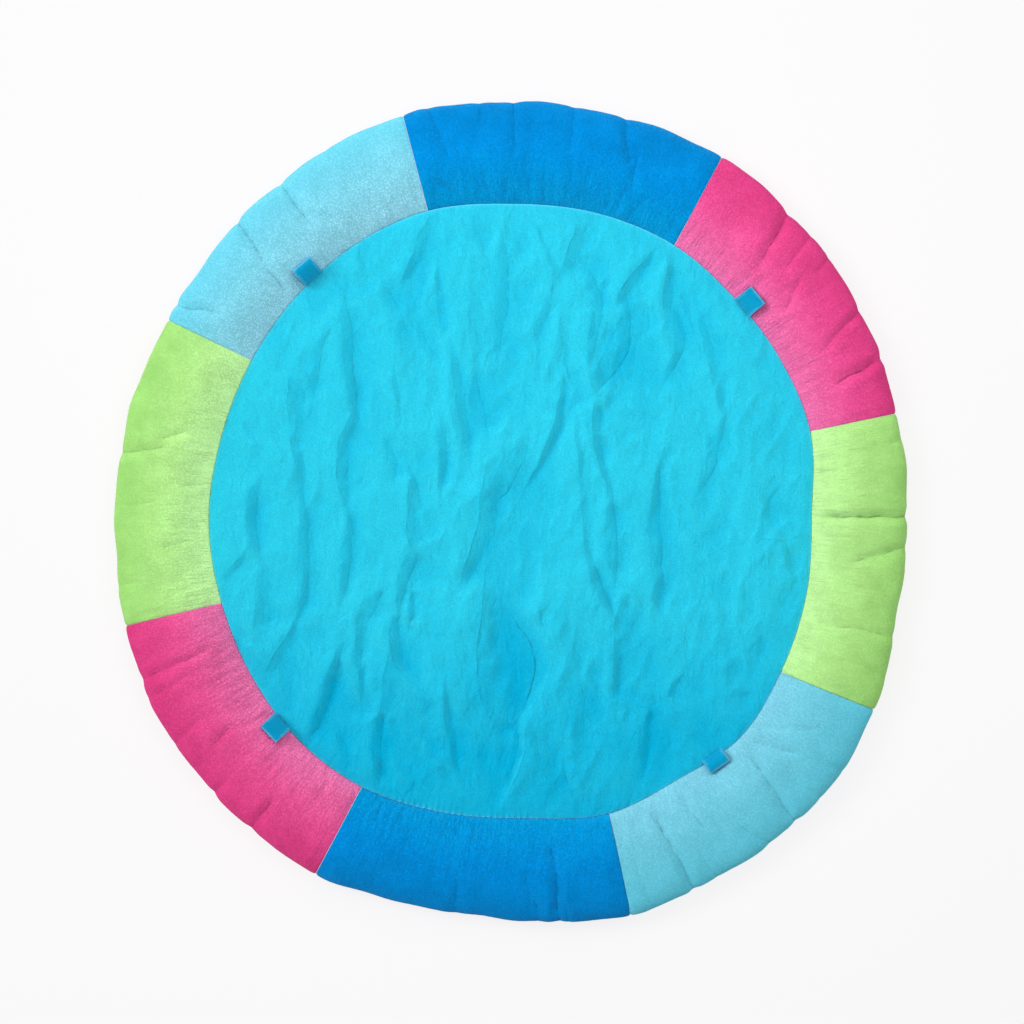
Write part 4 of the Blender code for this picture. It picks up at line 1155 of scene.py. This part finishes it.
def brushed(fleece):
    """Short brushed fleece: its nap is smooth outside and frosted towards the inner seam, with painted
    light and painted shade in its colour.
    """
    cloth = Cloth(fleece.name, roughness=0.95, sheen=0.04)
    nap = cloth.attribute("nap")
    nubs = cloth.node("ShaderNodeTexVoronoi",
                      {"Vector": cloth.place, "Scale": 1.0 / (NUB_PITCH * MM)})
    nub = Field(cloth, nubs.outputs["Distance"]) * -1.0 + 0.5
    grain = nub * NUB_SHARE + cloth.noise(GRAIN_PITCH, roughness=0.65)
    mottle = cloth.noise(MOTTLE_PITCH, detail=3.0, roughness=0.55)
    along = cloth.attribute("run") * CREASE_STRETCH
    lay = cloth.node("ShaderNodeCombineXYZ", {"X": cloth.attribute("arc"), "Y": along})
    crease = cloth.valleys(CREASE_PITCH, lay.outputs["Vector"]).made("MINIMUM", CREASE_TOP)
    # The colour runs from the outer edge to the inner seam; the paler inner end is partly painted
    # sheen.
    drift = mottle * MOTTLE_DRIFT + (nap - 0.5 * MOTTLE_DRIFT)
    ramp = cloth.node("ShaderNodeValToRGB", {"Fac": drift})
    stops = ramp.color_ramp.elements
    stops[0].color = shade(fleece.outer)
    stops[0].position = OUTER_STOP
    stops[1].color = shade(fleece.inner)
    stops[1].position = INNER_STOP
    stops.new(0.5).color = shade(fleece.middle)
    # Painted light: where its section paints the nap pale, the fleece is lifted, its specks are
    # stronger and its colour fades.
    pale = cloth.attribute("frost").made("POWER", FROST_EASE)
    speck = (grain - 0.5).made("MAXIMUM", DARKEST_SPECK)
    speck = speck * (pale * fleece.speckle + SMOOTH_SPECKLE * fleece.speckle)
    value = speck + (mottle - 0.5) * MOTTLE_SHARE + (pale * PAINTED_LIGHT_LIFT + 1.0)
    # Painted shade along the bottoms of the puckers.
    value = cloth.crease_line(FLEECE_SHADE_WIDTH) * -LINE_SHADE + value
    saturation = speck * (-2.0 * fleece.faded) + (pale * -fleece.faded + 1.0)
    cloth.colour(ramp.outputs["Color"], value, saturation)
    gathered = nap * CREASE_HEIGHT + CREASE_OUTSIDE * CREASE_HEIGHT
    height = crease * gathered + cloth.crease_line(FLEECE_LINE_WIDTH) * -LINE_HEIGHT
    cloth.relief(height + grain * FLEECE_GRAIN)
    return cloth.material


def plain_weave(woven):
    """Plain woven cloth: threads across and along, uneven in thickness, faint clouds, and painted
    shade and painted highlights where its piece marks them.
    """
    cloth = Cloth(woven.name, roughness=0.8, sheen=0.05)
    waves = {"Vector": cloth.place, "Scale": WAVE_SCALE / (woven.pitch * MM), "Distortion": 0.6,
             "Detail": 2.0}
    warp, weft = (Field(cloth, cloth.node("ShaderNodeTexWave", waves,
                                          bands_direction=way).outputs["Fac"]) for way in "XY")
    weave = warp * weft
    slub_place = cloth.node("ShaderNodeMapping",
                            {"Vector": cloth.place, "Scale": (1.0, SLUB_STRETCH, 1.0)})
    slub = cloth.noise(SLUB_PITCH, 3.0, WOVEN_ROUGHNESS, slub_place.outputs["Vector"])
    cloud = cloth.noise(CLOUD_PITCH, 5.0, WOVEN_ROUGHNESS)
    grain = cloth.noise(GRAIN_PITCH, 2.0, WOVEN_ROUGHNESS)
    # Painted shade mixed with random clouds: the deeper colour where the piece paints shade.
    depth = cloud * CLOUD_SHARE + (cloth.attribute("deep") - 0.5 * CLOUD_SHARE)
    mixed = cloth.mix(depth, woven.colour, woven.deep)
    uneven = (slub - 0.5) + (weave - WEAVE_MEAN) * THREAD_SHARE + (grain - 0.5) * SPECK_SHARE
    # Painted highlight along the seam edge of the middle piece and along the ribbon's edges and fold.
    pale = cloth.attribute("rim") * EDGE_HIGHLIGHT
    # Painted shade along the troughs of the wrinkles.
    value = cloth.crease_line(COTTON_SHADE_WIDTH) * (-COTTON_SHADE * LINE_SHADE)
    value = value + (uneven * woven.variation + 1.0)
    cloth.colour(mixed, value + pale, pale * -EDGE_HIGHLIGHT_FADE + 1.0)
    drift = cloth.node("ShaderNodeTexNoise",
                       {"Vector": cloth.place, "Scale": 1.0 / (DRIFT_PITCH * MM)})
    shift = cloth.node("ShaderNodeVectorMath",
                       {0: drift.outputs["Color"], 1: (DRIFT_REACH, DRIFT_REACH, 0.0),
                        2: cloth.place}, operation="MULTIPLY_ADD")
    drawn = cloth.node("ShaderNodeMapping",
                       {"Vector": shift.outputs[0], "Scale": (1.0, VALLEY_STRETCH, 1.0)})
    height = cloth.crease_line(TROUGH_WIDTH) * -LINE_HEIGHT
    height = height + cloth.crease_line(RIDGE_WIDTH, "ridge") * (RIDGE_SHARE * LINE_HEIGHT)
    for valley in VALLEYS:
        crumple = cloth.valleys(valley.pitch, drawn.outputs["Vector"])
        height = height + crumple * (valley.depth * woven.crumple)
    height = height + (slub * SLUB_SHARE + weave) * WEAVE_HEIGHT + grain * COTTON_GRAIN
    cloth.relief(height)
    return cloth.material


def twisted_thread():
    """Twisted sewing thread."""
    cloth = Cloth("sewing_thread", roughness=0.6, sheen=0.1)
    twist = cloth.noise(TWIST_PITCH)
    cloth.tree.links.new(cloth.mix(twist, *THREAD_COLOURS), cloth.shader.inputs["Base Color"])
    cloth.relief(twist, strength=0.4, depth=0.1)
    return cloth.material


def in_row(verts):
    """Points of the mat, in millimetres as the camera sees it, in the row frame in metres."""
    turn = math.radians(TURN_DEG)
    x, y = verts[:, 0], verts[:, 1]
    return np.column_stack((x * math.cos(turn) - y * math.sin(turn) + MIDDLE_MM[0],
                            x * math.sin(turn) + y * math.cos(turn) + MIDDLE_MM[1],
                            verts[:, 2])) * MM


def add_object(name, data):
    """A new object of the scene that shows or holds the data."""
    holder = bpy.data.objects.new(name, data)
    bpy.context.scene.collection.objects.link(holder)
    return holder


def make_piece(name, verts, faces, material, slot, values=None):
    """A closed piece in the row frame, smooth but for its sharp edges, riding on the body."""
    mesh = bpy.data.meshes.new(name)
    mesh.from_pydata(in_row(verts).tolist(), [], faces)
    work = bmesh.new()
    work.from_mesh(mesh)
    bmesh.ops.recalc_face_normals(work, faces=work.faces)
    work.to_mesh(mesh)
    work.free()
    mesh.shade_smooth()
    mesh.set_sharp_from_angle(angle=math.radians(SHARP_DEG))
    for label, each in (values or {}).items():
        mesh.attributes.new(label, "FLOAT", "POINT").data.foreach_set("value", each)
    mesh.materials.append(material)
    piece = add_object(name, mesh)
    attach(piece, "root")
    return piece


def make_rim(shapes, fleeces):
    for section, (verts, faces, values) in zip(SECTIONS, shapes):
        piece = make_piece(section.name + "_cloth", verts, faces, fleeces[section.cloth],
                           section.cloth, values)
        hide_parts(section.name)


def make_middle(shape, cotton):
    verts, faces, values = shape
    piece = make_piece("centre_cloth", verts, faces, cotton, "cotton", values)
    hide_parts("centre")


def make_loops(shapes, ribbon, thread):
    """The four ribbon loops and their topstitching, laid on the rim and the middle piece."""
    first = 0
    verts = []
    faces = []
    for shape in shapes:
        verts.append(shape[0])
        faces += [tuple(first + corner for corner in face) for face in shape[1]]
        first += len(shape[0])
    ground = BVHTree.FromPolygons(np.concatenate(verts).tolist(), faces)
    for loop in LOOPS:
        lying = LyingRibbon(loop, ground)
        verts, faces, values = ribbon_loop(lying)
        piece = make_piece(loop.name + "_ribbon", verts, faces, ribbon, "ribbon", values)
        stitches = make_piece(loop.name + "_stitches", *loop_stitches(lying), thread, "ribbon")
        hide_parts(loop.name)
        2.0 * (lying.slope_reach + loop.eye) * MM


def make_floor():
    """A plain pale floor that glows partly, so that the mat's shadow on it stays faint."""
    mesh = bpy.data.meshes.new("floor")
    half = FLOOR_HALF
    mesh.from_pydata([(-half, -half, FLOOR_DROP), (half, -half, FLOOR_DROP),
                      (half, half, FLOOR_DROP), (-half, half, FLOOR_DROP)], [], [(0, 1, 2, 3)])
    material = bpy.data.materials.new("pale_floor")
    material.use_nodes = True
    shader = material.node_tree.nodes["Principled BSDF"]
    shader.inputs["Base Color"].default_value = FLOOR_COLOUR
    shader.inputs["Roughness"].default_value = FLOOR_ROUGHNESS
    shader.inputs["Emission Color"].default_value = FLOOR_GLOW_COLOUR
    shader.inputs["Emission Strength"].default_value = FLOOR_GLOW
    mesh.materials.append(material)
    add_object("floor", mesh)


def make_lights(middle):
    """Soft light from all round, and two lamps that face the middle of the mat."""
    world = bpy.data.worlds.new("studio")
    world.use_nodes = True
    background = world.node_tree.nodes["Background"]
    background.inputs["Color"].default_value = (1.0, 1.0, 1.0, 1.0)
    background.inputs["Strength"].default_value = WORLD_LIGHT
    bpy.context.scene.world = world
    for name, azimuth, elevation, distance, size, power in LAMPS:
        turn = math.radians(azimuth + TURN_DEG)
        rise = math.radians(elevation)
        way = Vector((math.cos(turn) * math.cos(rise), math.sin(turn) * math.cos(rise),
                      math.sin(rise)))
        lamp = bpy.data.lights.new(name, "AREA")
        lamp.size = size
        lamp.energy = power
        holder = add_object(name, lamp)
        holder.location = middle + way * distance
        holder.rotation_euler = (-way).to_track_quat("-Z", "Y").to_euler()
        holder.visible_camera = False


def make_camera(middle):
    """A camera straight above the mat and turned with it."""
    camera = bpy.data.cameras.new("camera")
    camera.sensor_width = SENSOR
    camera.lens = SENSOR * CAMERA_HEIGHT / VIEW_WIDTH
    camera.clip_end = VIEW_DEPTH
    holder = add_object("camera", camera)
    turn = math.radians(TURN_DEG)
    right = Vector((math.cos(turn), math.sin(turn), 0.0))
    up = Vector((-math.sin(turn), math.cos(turn), 0.0))
    holder.location = (middle + right * CAMERA_SHIFT[0] + up * CAMERA_SHIFT[1]
                       + Vector((0.0, 0.0, CAMERA_HEIGHT)))
    holder.rotation_euler = (0.0, 0.0, turn)
    bpy.context.scene.camera = holder
    bpy.context.scene.view_settings.view_transform = "Standard"


def build():
    """The stage and every piece of the mat, the loops last because they lie on the others."""
    middle_spot = Vector((MIDDLE_MM[0] * MM, MIDDLE_MM[1] * MM, 0.0))
    make_floor()
    make_lights(middle_spot)
    make_camera(middle_spot)
    fleeces = {fleece.name: brushed(fleece) for fleece in FLEECES}
    cotton = plain_weave(COTTON)
    ribbon = plain_weave(RIBBON_CLOTH)
    rims = [rim_section(index) for index in range(len(SECTIONS))]
    middle = middle_piece()
    make_rim(rims, fleeces)
    make_middle(middle, cotton)
    make_loops(rims + [middle], ribbon, twisted_thread())


build()
